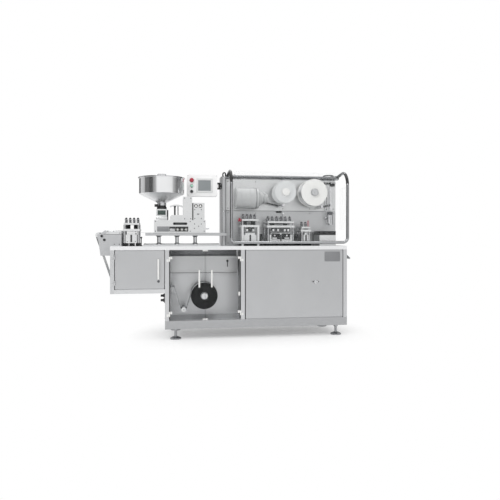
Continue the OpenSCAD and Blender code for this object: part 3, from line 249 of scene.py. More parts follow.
# Touch screen: grey glass, switched off; the gate's pane is smoked
finish("screen_glass_grey", ("#7C8183", "#8F9496"), (0.1, 0.16), 6, 160, 0, "hmi_screen", IOR=1.5)
gate_glass = finish("polycarbonate_smoked_green", ("#24332F", "#3A4C46"), (0.1, 0.18), 6, 30, IOR=1.58)
# Clear sheets and film, hazy discs
see_through("acrylic_clear_guard", "#EEF3F4", 0.02, 0.07, 0.04, "guard_panes",
            IOR=1.49, Specular_IOR_Level=0.25)
see_through("acrylic_clear_door", "#EEF3F4", 0.01, 0.05, 0.04, "clear_door_left clear_door_right",
            IOR=1.49, Specular_IOR_Level=0.1)
see_through("pvc_film_clear", "#8F989C", 0.45, 0.8, 0.12, "film_web", IOR=1.54)
hazy_plastic = finish("polycarbonate_hazy", ("#C3C5C6", "#D6D8D8"), (0.3, 0.42), 1.0, 40, 0.04,
                      "winder_flanges", IOR=1.58)
# Brush bristles
nylon_bristle = finish("nylon_bristle_natural", ("#8F908E", "#B9BAB7"), (0.4, 0.55), 1.5, 12, IOR=1.53)


# Shapes for the pieces, in millimetres

def at(point):
    """Place with the frame's own axes."""
    return Matrix.Translation(Vector(point) * MM)


def facing(point, way):
    """Place whose Z axis points a given way."""
    return at(point) @ Vector(way).to_track_quat("Z", "Y").to_matrix().to_4x4()


def add_slab(bm, low, high, edge, place=Matrix()):
    """Block between two corners of a place, with broken edges."""
    corners = bmesh.ops.create_cube(bm, size=1.0)["verts"]
    for v in corners:
        v.co = place @ Vector((low[i] + (v.co[i] + 0.5) * (high[i] - low[i])) * MM for i in range(3))
    edges = list({e for v in corners for e in v.link_edges})
    bmesh.ops.bevel(bm, geom=edges, offset=edge * MM, segments=2, profile=0.5, affect="EDGES")


def add_border(bm, low, high, wide, deep, edge, place=Matrix()):
    """Four bars round an upright opening: its corners in X and Z, the bars' widths and faces in Y."""
    (left, sill), (right, head), (side, rail), (front, back) = low, high, wide, deep
    for x0, z0, x1, z1 in ((left - side, sill - rail, right + side, sill),
                           (left - side, head, right + side, head + rail),
                           (left - side, sill, left, head), (right, sill, right + side, head)):
        add_slab(bm, (x0, front, z0), (x1, back, z1), edge, place)


def add_turned(bm, profile, place, steps):
    """Turned shape round the Z axis of a place, from points of radius and height."""
    rings = []
    for radius, height in profile:
        count = steps if radius else 1
        turns = [2 * math.pi * i / count for i in range(count)]
        points = [Vector((radius * math.cos(a), radius * math.sin(a), height)) * MM for a in turns]
        rings.append([bm.verts.new(place @ point) for point in points])
    for lower, upper in zip(rings, rings[1:]):
        for i in range(steps):
            around = (lower[i % len(lower)], lower[(i + 1) % len(lower)],
                      upper[(i + 1) % len(upper)], upper[i % len(upper)])
            corners = list(dict.fromkeys(around))
            if len(corners) > 2:
                bm.faces.new(corners)


def add_rod(bm, points, radius, sides=14):
    """Round rod along a row of points, closed at both ends."""
    points = [Vector(p) * MM for p in points]
    last = len(points) - 1
    ways = [(points[min(i + 1, last)] - points[max(i - 1, 0)]).normalized() for i in range(len(points))]
    turn = ways[0].to_track_quat("Z", "Y")
    rings = []
    for i, (point, way) in enumerate(zip(points, ways)):
        if i:
            turn = ways[i - 1].rotation_difference(way) @ turn
        rings.append([bm.verts.new(point + turn @ Vector((math.cos(a), math.sin(a), 0)) * radius * MM)
                      for a in (2 * math.pi * k / sides for k in range(sides))])
    for lower, upper in zip(rings, rings[1:]):
        for k in range(sides):
            bm.faces.new((lower[k], lower[(k + 1) % sides], upper[(k + 1) % sides], upper[k]))
    bm.faces.new(reversed(rings[0]))
    bm.faces.new(rings[-1])


def dress(holder, body, replaced=()):
    """Shades a piece smooth between its edges and fixes it to a body."""
    mesh = holder.data
    bm = bmesh.new()
    bm.from_mesh(mesh)
    bmesh.ops.remove_doubles(bm, verts=bm.verts, dist=1e-6)
    bmesh.ops.recalc_face_normals(bm, faces=bm.faces)
    bm.to_mesh(mesh)
    bm.free()
    mesh.shade_smooth()
    mesh.set_sharp_from_angle(angle=math.radians(32))
    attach(holder, body)
    if replaced:
        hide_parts(*replaced)


def piece(name, body, material, bm, replaced=()):
    mesh = bpy.data.meshes.new(name)
    bm.to_mesh(mesh)
    bm.free()
    mesh.materials.append(material)
    holder = bpy.data.objects.new(name, mesh)
    bpy.context.scene.collection.objects.link(holder)
    dress(holder, body, replaced)


# Node trees for what repeats: each takes points and puts one shape on every point, along the point's own way

def new_tree(name, sizes):
    tree = bpy.data.node_groups.new(name, "GeometryNodeTree")
    tree.interface.new_socket("Points", in_out="INPUT", socket_type="NodeSocketGeometry")
    for size in sizes:
        tree.interface.new_socket(size, in_out="INPUT", socket_type="NodeSocketFloat")
    tree.interface.new_socket("Finish", in_out="INPUT", socket_type="NodeSocketMaterial")
    tree.interface.new_socket("Geometry", in_out="OUTPUT", socket_type="NodeSocketGeometry")
    return tree, put(tree, "NodeGroupInput").outputs


def end_tree(tree, start, shape):
    """Sets the shape on the points, turned to each point's way, and gives it its finish."""
    way = put(tree, "GeometryNodeInputNamedAttribute", {"data_type": "FLOAT_VECTOR"}, {"Name": "way"})
    turn = put(tree, "FunctionNodeAlignRotationToVector", {"axis": "Z"}, {"Vector": way.outputs["Attribute"]})
    many = put(tree, "GeometryNodeInstanceOnPoints", None, {
        "Points": start["Points"], "Instance": shape, "Rotation": turn.outputs["Rotation"]})
    whole = put(tree, "GeometryNodeRealizeInstances", None, {"Geometry": many.outputs["Instances"]})
    coated = put(tree, "GeometryNodeSetMaterial", None, {
        "Geometry": whole.outputs["Geometry"], "Material": start["Finish"]})
    put(tree, "NodeGroupOutput", None, {"Geometry": coated.outputs["Geometry"]})
    return tree


def screw_tree():
    """Cap screw: a round head, half of it sunk, with a socket in its top."""
    tree, start = new_tree("cap_screws", ("Radius", "Height", "Socket"))
    head = put(tree, "GeometryNodeMeshCylinder", None, {
        "Vertices": 16, "Radius": start["Radius"], "Depth": start["Height"]})
    rim = put(tree, "GeometryNodeExtrudeMesh", None, {
        "Mesh": head.outputs["Mesh"], "Selection": head.outputs["Top"],
        "Offset Scale": 0.0, "Individual": False})
    drawn = put(tree, "GeometryNodeScaleElements", None, {
        "Geometry": rim.outputs["Mesh"], "Selection": rim.outputs["Top"], "Scale": 0.55})
    depth = put(tree, "ShaderNodeMath", {"operation": "MULTIPLY"}, {0: start["Socket"], 1: -1.0})
    sunk = put(tree, "GeometryNodeExtrudeMesh", None, {
        "Mesh": drawn.outputs["Geometry"], "Selection": rim.outputs["Top"],
        "Offset Scale": depth.outputs["Value"], "Individual": False})
    return end_tree(tree, start, sunk.outputs["Mesh"])


def spring_tree():
    """Round wire wound on a stud."""
    coils = 4.5
    tree, start = new_tree("coil_springs", ("Radius", "Height", "Wire"))
    path = put(tree, "GeometryNodeCurveSpiral", None, {
        "Resolution": 16, "Rotations": coils, "Start Radius": start["Radius"],
        "End Radius": start["Radius"], "Height": start["Height"]})
    wire = put(tree, "GeometryNodeCurvePrimitiveCircle", {"mode": "RADIUS"}, {
        "Resolution": 7, "Radius": start["Wire"]})
    coil = put(tree, "GeometryNodeCurveToMesh", None, {
        "Curve": path.outputs["Curve"], "Profile Curve": wire.outputs["Curve"], "Fill Caps": True})
    return end_tree(tree, start, coil.outputs["Mesh"])


def brush_tree():
    """Round brush: bristles that stand out of a core all round."""
    tree, start = new_tree("round_brushes", ("Core", "Length", "Bristle"))
    core = put(tree, "GeometryNodeMeshCylinder", None, {
        "Vertices": 20, "Radius": start["Core"], "Depth": start["Length"]})
    spots = put(tree, "GeometryNodeDistributePointsOnFaces", None, {
        "Mesh": core.outputs["Mesh"], "Selection": core.outputs["Side"], "Density": 420000.0, "Seed": 7})
    hair = put(tree, "GeometryNodeMeshCone", None, {
        "Vertices": 4, "Radius Top": 0.0002, "Radius Bottom": 0.0006, "Depth": start["Bristle"]})
    stand = put(tree, "GeometryNodeInstanceOnPoints", None, {
        "Points": spots.outputs["Points"], "Instance": hair.outputs["Mesh"],
        "Rotation": spots.outputs["Rotation"]})
    both = put(tree, "GeometryNodeJoinGeometry")
    tree.links.new(stand.outputs["Instances"], both.inputs["Geometry"])
    tree.links.new(core.outputs["Mesh"], both.inputs["Geometry"])
    return end_tree(tree, start, both.outputs["Geometry"])


def grow(name, body, slot, tree, material, spots, **sizes):
    """Runs a tree on spots, each a place and a way, and keeps the result as one plain mesh."""
    cloud = bpy.data.meshes.new(name + "_points")
    cloud.from_pydata([Vector(place) * MM for place, way in spots], [], [])
    cloud.attributes.new("way", "FLOAT_VECTOR", "POINT").data.foreach_set(
        "vector", [c for place, way in spots for c in way])
    holder = bpy.data.objects.new(name, cloud)
    bpy.context.scene.collection.objects.link(holder)
    modifier = holder.modifiers.new("grow", "NODES")
    modifier.node_group = tree
    for socket in tree.interface.items_tree:
        if socket.in_out == "INPUT" and socket.name in sizes:
            modifier[socket.identifier] = sizes[socket.name] * MM
        elif socket.name == "Finish":
            modifier[socket.identifier] = material
    made = bpy.data.meshes.new_from_object(holder.evaluated_get(bpy.context.evaluated_depsgraph_get()))
    holder.modifiers.remove(modifier)
    holder.data = made
    bpy.data.meshes.remove(cloud)
    made.name = name
    dress(holder, body)


def plates(name, body, slot, material, place, *blocks):
    """Piece made of blocks only, each with its lower and upper corner and its edge."""
    bm = bmesh.new()
    for low, high, edge in blocks:
        add_slab(bm, low, high, edge, place)
    piece(name, body, material, bm)


# Places in the frame, in millimetres

Point = namedtuple("Point", "x y z")


def span(points):
    """Lower and upper corner of points of the frame, to a tenth of a millimetre."""
    axes = [[round(c / MM, 1) for c in axis] for axis in zip(*points)]
    return Point(*map(min, axes)), Point(*map(max, axes))


def limits(node):
    """Lower and upper corner of a node."""
    return span(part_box(node))


def mid(ends):
    """Centre of a box."""
    return Point(*((a + b) / 2 for a, b in zip(*ends)))


def solids(node):
    """Limits of each solid of a node, from left to right."""
    bm = bmesh.new()
    bm.from_mesh(nodes[node].data)
    bmesh.ops.remove_doubles(bm, verts=bm.verts, dist=1e-5)
    left, found = set(bm.verts), []
    while left:
        reached = [left.pop()]
        for v in reached:
            fresh = {e.other_vert(v) for e in v.link_edges} & left
            left -= fresh
            reached += fresh
        found.append(span([nodes[node].matrix_world @ v.co for v in reached]))
    bm.free()
    return sorted(found)


UP, FORTH, BACK, LEFTWARD, RIGHTWARD = (0, 0, 1), (0, -1, 0), (0, 1, 0), (-1, 0, 0), (1, 0, 0)
# The table's and the cabinet's faces, the front posts and the wall plates
FRONT, TABLE = limits("table_top")[0][1:]
RIGHT, REAR, TOP = limits("table_top")[1]
WING_POST, LEFT_POST, MID_POST, RIGHT_POST = solids("frame_posts")[::2]
LEFT, BASE = LEFT_POST[0].x, LEFT_POST[0].z
WING_RAIL = solids("frame_rails")[0][1].z
PLATES = solids("wall_plates")
WALL = PLATES[0][0].y
HOUSING = limits("rear_housing")
FITTINGS = solids("wall_fittings")
STAND = FITTINGS[5]
# Underside and middle of the film's run, the infeed's side plates, the feeder and the hopper's axis
FILM, FILM_Y = limits("film_web")[1].z - 1, mid(limits("film_web")).y
INFEED = solids("film_guides")[0]
FEEDER, COLUMN, CONTROL = limits("feeder_body"), limits("feeder_column"), limits("control_box")
NECK, HOPPER = limits("feeder_neck")[0], limits("hopper")
AXIS = mid(HOPPER).x
# Lower corner of the station blocks, underside of the heads
BLOCK = limits("station_blocks")[0]
HEADS = solids("station_heads")
HEAD = HEADS[0][0].z
# Stations from left to right: centre, width, top of the cap
STATIONS = [(mid(head).x, head[1].x - head[0].x, head[1].z) for head in HEADS]
# The caps' knobs stand over the film's middle; beside them are the lever and the two dials
KNOBS = solids("station_knobs")
SPRINGS = [(mid(knob).x, FILM_Y, knob[0].z) for knob in KNOBS if abs(mid(knob).y - FILM_Y) < 1]
LEVER, *DIALS = [knob for knob in KNOBS if abs(mid(knob).y - FILM_Y) >= 1]
# Bare plate in the main door's upper corner
DOOR = limits("main_door")[1]
PLATE = Point(DOOR.x - 180, FRONT, DOOR.z - 108), Point(DOOR.x - 25, FRONT, DOOR.z - 13)
# The motor's axis lies half its height behind its front
MOTOR = limits("winder_motor")
MOTOR_AXIS = MOTOR[0].y + (MOTOR[1].z - MOTOR[0].z) / 2, mid(MOTOR).z
screws, springs, brushes = screw_tree(), spring_tree(), brush_tree()


# Profiles of turned pieces, as points of radius and height

def button(radius, height, inset, drop=None):
    """Solid disc with a broken upper edge."""
    return (0, 0), (radius, 0), (radius, height - (drop or inset)), (radius - inset, height), (0, height)


def ring(inner, outer, low, high):
    return (inner, low), (outer, low), (outer, high), (inner, high), (inner, low)


def collar(inner, outer, low, high, cut):
    """Ring with both outer edges broken."""
    return ((inner, low), (outer - cut, low), (outer, low + cut), (outer, high - cut), (outer - cut, high),
            (inner, high), (inner, low))


def ball(radius, steps):
    turns = [math.pi * i / steps for i in range(1, steps)]
    return [(0, -radius)] + [(radius * math.sin(a), -radius * math.cos(a)) for a in turns] + [(0, radius)]


# Pieces: places are worked out from the frame, sizes are in millimetres

def spring_studs():
    """Studs with washers, hexagon nuts and springs on the caps, and the forming station's lever."""
    nuts, studs = bmesh.new(), bmesh.new()
    for place in SPRINGS:
        stand = facing(place, UP)
        add_turned(studs, ((0, 0), (16, 0), (16.5, 0.5), (16.5, 2.5), (16, 3), (5, 3), (5, 36), (14.5, 36),
                           (15, 36.5), (15, 38.5), (14.5, 39), (5, 39), (5, 53), (4, 54), (0, 54)), stand, 24)
        add_turned(nuts, ((0, 39.5), (9.4, 39.5), (10.6, 40.7), (10.6, 47.8), (9.4, 49), (0, 49)), stand, 6)
    knob, lift = 9, 78
    x, y = LEVER[1].x - knob, mid(LEVER).y
    add_rod(nuts, ((x, y, TOP), (x, y, TOP + lift - 4)), 4)
    add_turned(nuts, ball(knob, 12), facing((x, y, TOP + lift), UP), 24)
    add_turned(nuts, ((0, 0), (11, 0), (11, 4), (8, 7), (4, 7), (4, 9), (0, 9)), facing((x, y, TOP), UP), 24)
    piece("spring_studs", "frame", foot_steel, studs, ("station_knobs",))
    piece("stud_nuts", "frame", black_steel, nuts)
    grow("coil_springs", "frame", "black_steel", springs, coil_steel,
         [((x, y, z + 4.8), UP) for x, y, z in SPRINGS], Radius=12.6, Height=28.6, Wire=2.2)


def dial_knobs():
    """Two setting dials: dark skirts and light pointer knobs."""
    skirts, knobs = bmesh.new(), bmesh.new()
    thick, tall, taper = 3, 7, 0.86
    outline = [(0, 15), (-12, -8), (-8, -11), (8, -11), (12, -8)]
    for dial, lean in zip(DIALS, (8, -6)):
        x, y, z = mid(dial).x, dial[1].y, mid(dial).z
        add_turned(skirts, button(17, thick, 1.5, 1), facing((x, y, z), FORTH), 28)
        turn = facing((x, y - thick, z), FORTH) @ Matrix.Rotation(math.radians(lean), 4, "Z")
        add_turned(knobs, button(8.5, 10, 1), turn, 24)
        lower = [knobs.verts.new(turn @ (Vector((px, py, 0)) * MM)) for px, py in outline]
        upper = [knobs.verts.new(turn @ (Vector((px * taper, py * taper, tall)) * MM)) for px, py in outline]
        knobs.faces.new(lower[::-1])
        knobs.faces.new(upper)
        for i in range(5):
            knobs.faces.new((lower[i], lower[(i + 1) % 5], upper[(i + 1) % 5], upper[i]))
    piece("dial_skirts", "frame", black_plastic, skirts)
    piece("dial_knobs", "frame", white_plastic, knobs)


def reel_discs():
    """Film reel's black discs: turned grooves, a raised rim and a joint line across."""
    (low, inner), (outer, high) = solids("reel_flanges")
    x, z = mid((low, high)).x, mid((low, high)).z
    rim, bore, thick = (high.x - low.x) / 2, 36, inner.y - low.y
    web = thick - 1
    face = [(rim, 0), (rim, web), (rim - 1, thick), (rim - 6.5, thick), (rim - 7.5, web)]
    for r in range(112, 46, -8):
        face += [(r + 1.6, web), (r, web - 1.4), (r - 1.6, web)]
    profile = [(bore, 0)] + face + [(bore + 5, web), (bore + 4, thick), (bore, thick), (bore, 0)]
    bm = bmesh.new()
    add_turned(bm, profile, facing((x, inner.y, z), FORTH), 96)
    add_turned(bm, profile, facing((x, outer.y, z), BACK), 96)
    for side in (-1, 1):
        near, far = sorted((z + side * 42, z + side * 118))
        add_slab(bm, (x - 0.9, low.y + 0.5, near), (x + 0.9, low.y + 1.4, far), 0.2)
    piece("reel_discs", "film_reel", reel_black, bm, ("reel_flanges",))


def rows(xs, y, zs, way):
    """Screws in columns and rows on an upright face."""
    return [((x, y, z), way) for x in xs for z in zs]


def fasteners():
    """Screws of the plates, caps, panels and covers."""
    lower, upper = PLATES
    columns = [lower[0].x + 25 + 280 * i for i in range(4)] + [lower[1].x - 24]
    spots = rows(columns, WALL, (lower[0].z + 25, lower[1].z - 22, upper[0].z + 23, upper[1].z - 22), FORTH)
    for x, width, cap in STATIONS:
        for side in (-1, 1):
            spots += [((x + side * (width / 2 - 19), FILM_Y + off, cap), UP) for off in (-86.5, 86.5)]
    low, high = FEEDER
    spots += rows((low.x + 14, high.x - 145, high.x - 14), low.y, (low.z + 15.4, high.z - 13.4), FORTH)
    spots += [((high.x - x, low.y, high.z - z), FORTH)
              for x, z in ((105, 36.4), (67, 58.4), (105, 78.4), (41, 36.4))]
    low, high = COLUMN
    spots += rows((high.x - 72, high.x - 14), low.y, (low.z + 13.6, high.z - 14.4), FORTH)
    low, high = CONTROL
    spots += rows((low.x + 13, high.x - 30), low.y, (low.z + 15, low.z + 99), FORTH)
    low, high = INFEED
    spots += [((high.x - x, low.y, high.z - z), FORTH)
              for x, z in ((122, 8), (70, 8), (64, 128), (20, 128), (14, 25))]
    heights = (BASE + 18, (BASE + TABLE) / 2, TABLE - 18)
    left, right = LEFT_POST[1].x, MID_POST[1].x
    columns = [left + 15, left + 325, MID_POST[0].x - 18]
    columns += [right + 15, right + 327, right + 637, RIGHT_POST[0].x - 17]
    spots += rows(columns, REAR, heights, BACK)
    left = WING_POST[1].x
    spots += rows((left + 17, left + 221, LEFT - 18), REAR, (WING_RAIL + 17, TABLE - 16), BACK)
    low, high = HOUSING
    columns = [low.x + 25, low.x + 305, low.x + 595, low.x + 885, high.x - 18]
    spots += rows(columns, REAR, (low.z + 17, low.z + 341, high.z - 17), BACK)
    for y in (FRONT + 57.5, mid(limits("table_top")).y - 0.5, REAR - 56.5):
        spots += rows((RIGHT,), y, heights[:2] + (TABLE - 70,), RIGHTWARD)
        spots += rows((LEFT,), y, (BASE + 18, BASE + 158), LEFTWARD)
    y, z = MOTOR_AXIS
    spots += [((MOTOR[1].x - 70, y + 64 * math.sin(a), z + 64 * math.cos(a)), RIGHTWARD)
              for a in (math.pi * (i + 0.5) / 3 for i in range(6))]
    grow("frame_screws", "frame", "dark_steel", screws, spring_steel, spots, Radius=4.6, Height=6, Socket=2.2)
    spots = [((x + side * (width / 2 - 40), BLOCK.y + 2.5, BLOCK.z + 14), FORTH)
             for x, width, cap in STATIONS for side in (-1, 1)]
    grow("block_screws", "frame", "black_steel", screws, black_steel, spots, Radius=3.8, Height=4, Socket=1.5)
    low, high = limits("hmi_box")
    spots = rows((low.x + 10, high.x - 10), low.y + 5, (low.z + 10, high.z - 10), FORTH)
    spots += rows((low.x + 16, mid((low, high)).x, high.x - 16), high.y, (low.z + 15, high.z - 15), BACK)
    grow("panel_screws", "control_panel", "dark_steel", screws, bright_steel, spots,
         Radius=3.4, Height=3, Socket=0.9)
    low, high = PLATE
    spots = rows((low.x + 5, high.x - 5), FRONT - 1.2, (low.z + 5, high.z - 5), FORTH)
    grow("plate_rivets", "main_door", "dark_steel", screws, bright_steel, spots,
         Radius=2.6, Height=1.8, Socket=0.4)


def feeder_brushes():
    """Three round brushes behind the feeder's window, on turned hubs."""
    low = FEEDER[0]
    columns, z = [low.x + 218 + 39 * i for i in range(3)], low.z + 29.9
    grow("feeder_brushes", "frame", "black_plastic", brushes, nylon_bristle,
         rows(columns, low.y + 19, (z,), FORTH), Core=8, Length=34, Bristle=9.2)
    bm = bmesh.new()
    for x in columns:
        add_turned(bm, ((0, 0), (7, 0), (7, 1.6), (6, 2.4), (3, 2.4), (2.4, 1.4), (0, 1.4)),
                   facing((x, low.y + 2, z), FORTH), 20)
    piece("brush_hubs", "frame", machined, bm)


def dark_openings():
    """Painted shade: dark inserts standing in for the shade in the feeder's slot and window, the control
    box's slot, the gap beside the column and the blocks' slots.
    """
    feeder, control = at(FEEDER[0]), at(CONTROL[0])
    slot, left, right, level = 11.2, 185.5, 296.5, 85.8
    end = ((0, 0), (slot, 0), (slot, 1.4), (0, 1.4))
    bm = bmesh.new()
    for x in (left, right):
        add_turned(bm, end, feeder @ facing((x, 7.8, level), FORTH), 24)
    add_slab(bm, (left, 6.4, level - slot), (right, 7.8, level + slot), 0.2, feeder)
    add_slab(bm, (140.4, 6.4, 12.4), (197.4, 7.8, 58.2), 0.2, feeder)
    add_slab(bm, (198.6, 38.1, 12.4), (316.4, 39.7, 58.2), 0.2, feeder)
    add_slab(bm, (198.6, 1.5, 47.9), (316.4, 37.5, 58.3), 0.4, feeder)
    add_slab(bm, (34, 1.8, 53), (54, 2.8, 61), 0.2, control)
    left, high = COLUMN[1].x - CONTROL[0].x, CONTROL[1].z - CONTROL[0].z
    add_slab(bm, (left + 0.3, 36.5, 0.3), (-0.3, 48.5, high - 0.4), 0.4, control)
    for x, width, cap in STATIONS:
        add_slab(bm, (-7.6, 8.1, 8.6), (7.6, 9.8, 77.6), 0.3, at((x, BLOCK.y, BLOCK.z)))
    piece("slot_shade_inserts", "frame", dark_rubber_and_shade_fill, bm)
    plates("window_plate", "frame", "aluminium", blank_plate, feeder,
           ((29, -1.5, 10.4), (138, 0, 59.4), 0.5), ((36, -2.1, 16.4), (131, -1.3, 53.4), 0.3))
    plates("scraper", "frame", "aluminium", plate_alloy, feeder,
           ((145, 1.5, 14.4), (193, 6.4, 38.4), 1.0), ((151, 0.5, 29.4), (187, 1.7, 34.4), 0.4))


def hopper_gate():
    """Sight window of the hopper's gate: a light frame with a smoked pane."""
    gate = at((AXIS, NECK.y, NECK.z))
    bm = bmesh.new()
    add_border(bm, (-37, 49), (37, 92), (13, 12.5), (-3, 0), 0.8, gate)
    piece("gate_frame", "frame", hazy_plastic, bm)
    plates("gate_pane", "frame", "black_plastic", gate_glass, gate,
           ((-36, 1.5, 50), (36, 5.5, 91), 0.8), ((-34, 0.3, 68.1), (34, 1.7, 73.1), 0.5))


def hopper_cover():
    """Lid with a hemmed edge, a plug that centres it and a bent grip."""
    rim = facing((AXIS, FILM_Y, HOPPER[1].z), UP)
    lid, reach, bend, foot = 5.2, 38, 10, 4.6
    side, top = reach - bend, foot + 28
    bm = bmesh.new()
    add_turned(bm, ((0, -13.8), (202.5, -13.8), (202.8, -13.4), (202.8, 0), (219, 0), (219.8, 0.8),
                    (219.8, 5), (218.6, 6), (212, 6), (210.5, lid), (0, lid)), rim, 96)
    arch = [(-reach, foot), (-reach, foot + 26)]
    arch += [(-side - bend * math.cos(a), top + bend * math.sin(a)) for a in (0.3, 0.7, 1.1)]
    arch += [(side + bend * math.sin(a), top + bend * math.cos(a)) for a in (0.47, 0.87, 1.27)]
    arch += [(reach, foot + 26), (reach, foot)]
    add_rod(bm, [(AXIS + x, FILM_Y, HOPPER[1].z + z) for x, z in arch], 4.5, 16)
    for x in (-reach, reach):
        add_turned(bm, button(11, 2.6, 2, 1), rim @ at((-x, 0, lid - 0.2)), 24)
    piece("hopper_cover", "hopper_lid", tube_steel, bm, ("hopper_lid",))


def neck_sleeves():
    """Bright sleeve under the hopper, pale box round the neck's foot and a dark sleeve on one stay."""
    under, foot = facing((AXIS, FILM_Y, HOPPER[0].z), UP), at((AXIS, FILM_Y, NECK.z))
    bm = bmesh.new()
    add_turned(bm, ((37.5, -10.8), (42.5, -10.8), (43.5, -9.8), (43.5, -7.4), (42, -6), (42, -1),
                    (40.4, -0.2), (37.5, -0.2), (37.5, -10.8)), under, 64)
    add_turned(bm, ring(40.2, 41.6, -23.4, -11.4), under, 64)
    piece("neck_sleeve", "frame", bright_steel, bm)
    bm = bmesh.new()
    out, deep, side = 52, 50.5, 50.2
    for low, high in (((-out, -out), (out, -deep)), ((-out, deep), (out, out)),
                      ((-out, -deep), (-side, deep)),
                      ((side, -deep), (out, -32.5)), ((side, -17.5), (out, deep))):
        add_slab(bm, low + (0.2,), high + (35.2,), 0.5, foot)
    piece("neck_foot", "frame", feeder_steel, bm)
    bm = bmesh.new()
    add_turned(bm, ((6.1, 48.6), (7.8, 48.6), (7.8, 123.6), (11, 131.6), (11, 136.6), (6.1, 136.6),
                    (6.1, 48.6)), facing((COLUMN[0].x + 48.4, FILM_Y, COLUMN[0].z), UP), 24)
    piece("stay_sleeve", "frame", black_plastic, bm)


def press_details():
    """Bellows on the rams, dark die carriers with light clamps, and knobs on the infeed's side plate."""
    bm = bmesh.new()
    cap_plate, gap, bore, inner, outer = 16, 0.5, 18.2, 20, 22.5
    for (x, width, cap), ram in zip(STATIONS, (27, 67, 64, 25)):
        low, high = HEAD + ram + gap, cap - cap_plate - gap
        folds = max(2, round((high - low + 2 * gap) / 7))
        fold = (high - low) / folds
        profile = [(bore, low)]
        for i in range(folds):
            profile += [(inner, low + i * fold), (outer, low + (i + 0.5) * fold)]
        profile += [(inner, high), (bore, high), (bore, low)]
        for side in (-1, 1):
            add_turned(bm, profile, facing((x + side * 0.24 * width, FILM_Y, 0), UP), 32)
    dies = [at((STATIONS[i][0], BLOCK.y, HEAD)) for i in (1, 2)]
    for die, half, tall in zip(dies, (44, 94), (46, 43)):
        add_slab(bm, (-half, 6.5, 2), (half, 12.9, tall), 0.8, die)
    piece("die_carriers", "frame", dark_rubber_and_shade_fill, bm)
    bm = bmesh.new()
    for die, offs in zip(dies, ((-30, 30), (-72, -26, 40, 74))):
        for off in offs:
            add_slab(bm, (off - 9, 1, 7), (off + 9, 6.5, 29), 1.2, die)
            add_turned(bm, button(6, 5, 1), die @ facing((off, 1, 18), FORTH), 20)
    piece("die_clamps", "frame", machined, bm)
    bm = bmesh.new()
    for x, z in ((66.6, 146), (43.6, 181)):
        add_turned(bm, ((0, 0), (6, 0), (6, 3), (11, 4), (11.5, 5), (11.5, 12), (10.5, 13), (3, 13),
                        (2.4, 12), (0, 12)), at(INFEED[0]) @ facing((x, 0, z), FORTH), 12)
    piece("tension_knobs", "frame", black_plastic, bm)


def seal_plate():
    """Dark plate with two bright heads on the sealing block, and black film rests beside it."""
    x, width, cap = STATIONS[2]
    block, half = at((x, BLOCK.y, BLOCK.z)), width / 2 - 44
    bm, heads = bmesh.new(), bmesh.new()
    for left, right in ((-half, -9), (9, half)):
        add_slab(bm, (left, -4, 34), (right, 0, 91), 1, block)
    for off in (-62, 58):
        add_slab(heads, (off - 22, -6.5, 39), (off + 24, -4, 51), 0.8, block)
        add_turned(heads, button(8, 6, 1), block @ facing((off, -4, 71), FORTH), 24)
    film = FILM - TOP
    for place, wide in ((STATIONS[1][0] + 109.1, 34), (x + 161.3, 44)):
        rest = at((place, FILM_Y, TOP))
        add_slab(bm, (-wide / 2, -64.5, 0), (wide / 2, 64.5, 8), 1, rest)
        add_slab(bm, (-wide / 3, -56.5, 7), (wide / 3, 56.5, film - 24), 1, rest)
        add_slab(bm, (-wide / 2, -64.5, film - 56), (wide / 2, 64.5, film - 12), 4, rest)
    piece("seal_plate", "frame", black_steel, bm)
    piece("seal_heads", "frame", machined, heads)


def motor_bands():
    """Dark joint lines round the motor and two collars on its tail."""
    tail = facing((MOTOR[1].x, *MOTOR_AXIS), RIGHTWARD)
    bm = bmesh.new()
    add_turned(bm, ring(100.2, 101.6, -119, -114), tail, 96)
    add_turned(bm, ring(76.2, 77.2, -87, -83), tail, 80)
    piece("motor_joints", "frame", dark_rubber_and_shade_fill, bm)
    bm = bmesh.new()
    add_turned(bm, collar(43.2, 60, -67, -51, 2), tail, 72)
    add_turned(bm, collar(43.2, 53.5, -31, -19.5, 1.5), tail, 72)
    piece("motor_collars", "frame", motor_enamel, bm)


def guard_reflection_sleeves():
    """Black sleeves on the guard's arms and on the front of its top bends: a guessed part that also stands in
    for the dark reflections in the chrome bends, as painted reflection.
    """
    low, high = limits("guard_frame")
    slope, bend, sleeve = math.radians(7), 140, 14.45
    y, z = low.y + bend + 14.4, high.z - bend - 14
    start = math.pi / 2 - slope
    foot = (y + bend * math.cos(start), z + bend * math.sin(start))
    turns = [math.radians(172 - 5 * i) for i in range(11)]
    bm = bmesh.new()
    for x in (low.x + 15, high.x - 15):
        add_rod(bm, [(x, y + bend * math.cos(a), z + bend * math.sin(a)) for a in turns], sleeve, 28)
        add_rod(bm, [(x, foot[0] + run * math.cos(slope), foot[1] - run * math.sin(slope))
                     for run in (24, 70, 116, 158)], sleeve, 28)
    piece("guard_reflection_sleeves", "guard", black_plastic, bm)


def stand_trim():
    """Dark head and edge of the stand on the wall's right end, and the slides' black head with its screws."""
    low, high = STAND
    head = at((high.x, low.y, high.z))
    plates("stand_trim", "frame", "dark_steel", spring_steel, head,
           ((-59, -1.6, -32), (-1, 0, -1), 0.6), ((-8, -1.6, low.z - high.z + 1), (-1, 0, -32), 0.6))
    corner, deep = at((PLATES[1][1].x, WALL, PLATES[1][1].z)), 22
    plates("slide_head", "frame", "black_steel", black_steel, corner,
           ((-128, -deep, -36), (-8, 0, -18), 1.5), ((-58, 6 - deep, -56), (-12, 0, -34), 1.5))
    heads = bmesh.new()
    for x in (-110, -82, -46, -22):
        add_turned(heads, button(6, 4, 1), corner @ facing((x, -deep, -27), FORTH), 20)
    piece("slide_screws", "frame", bright_steel, heads)


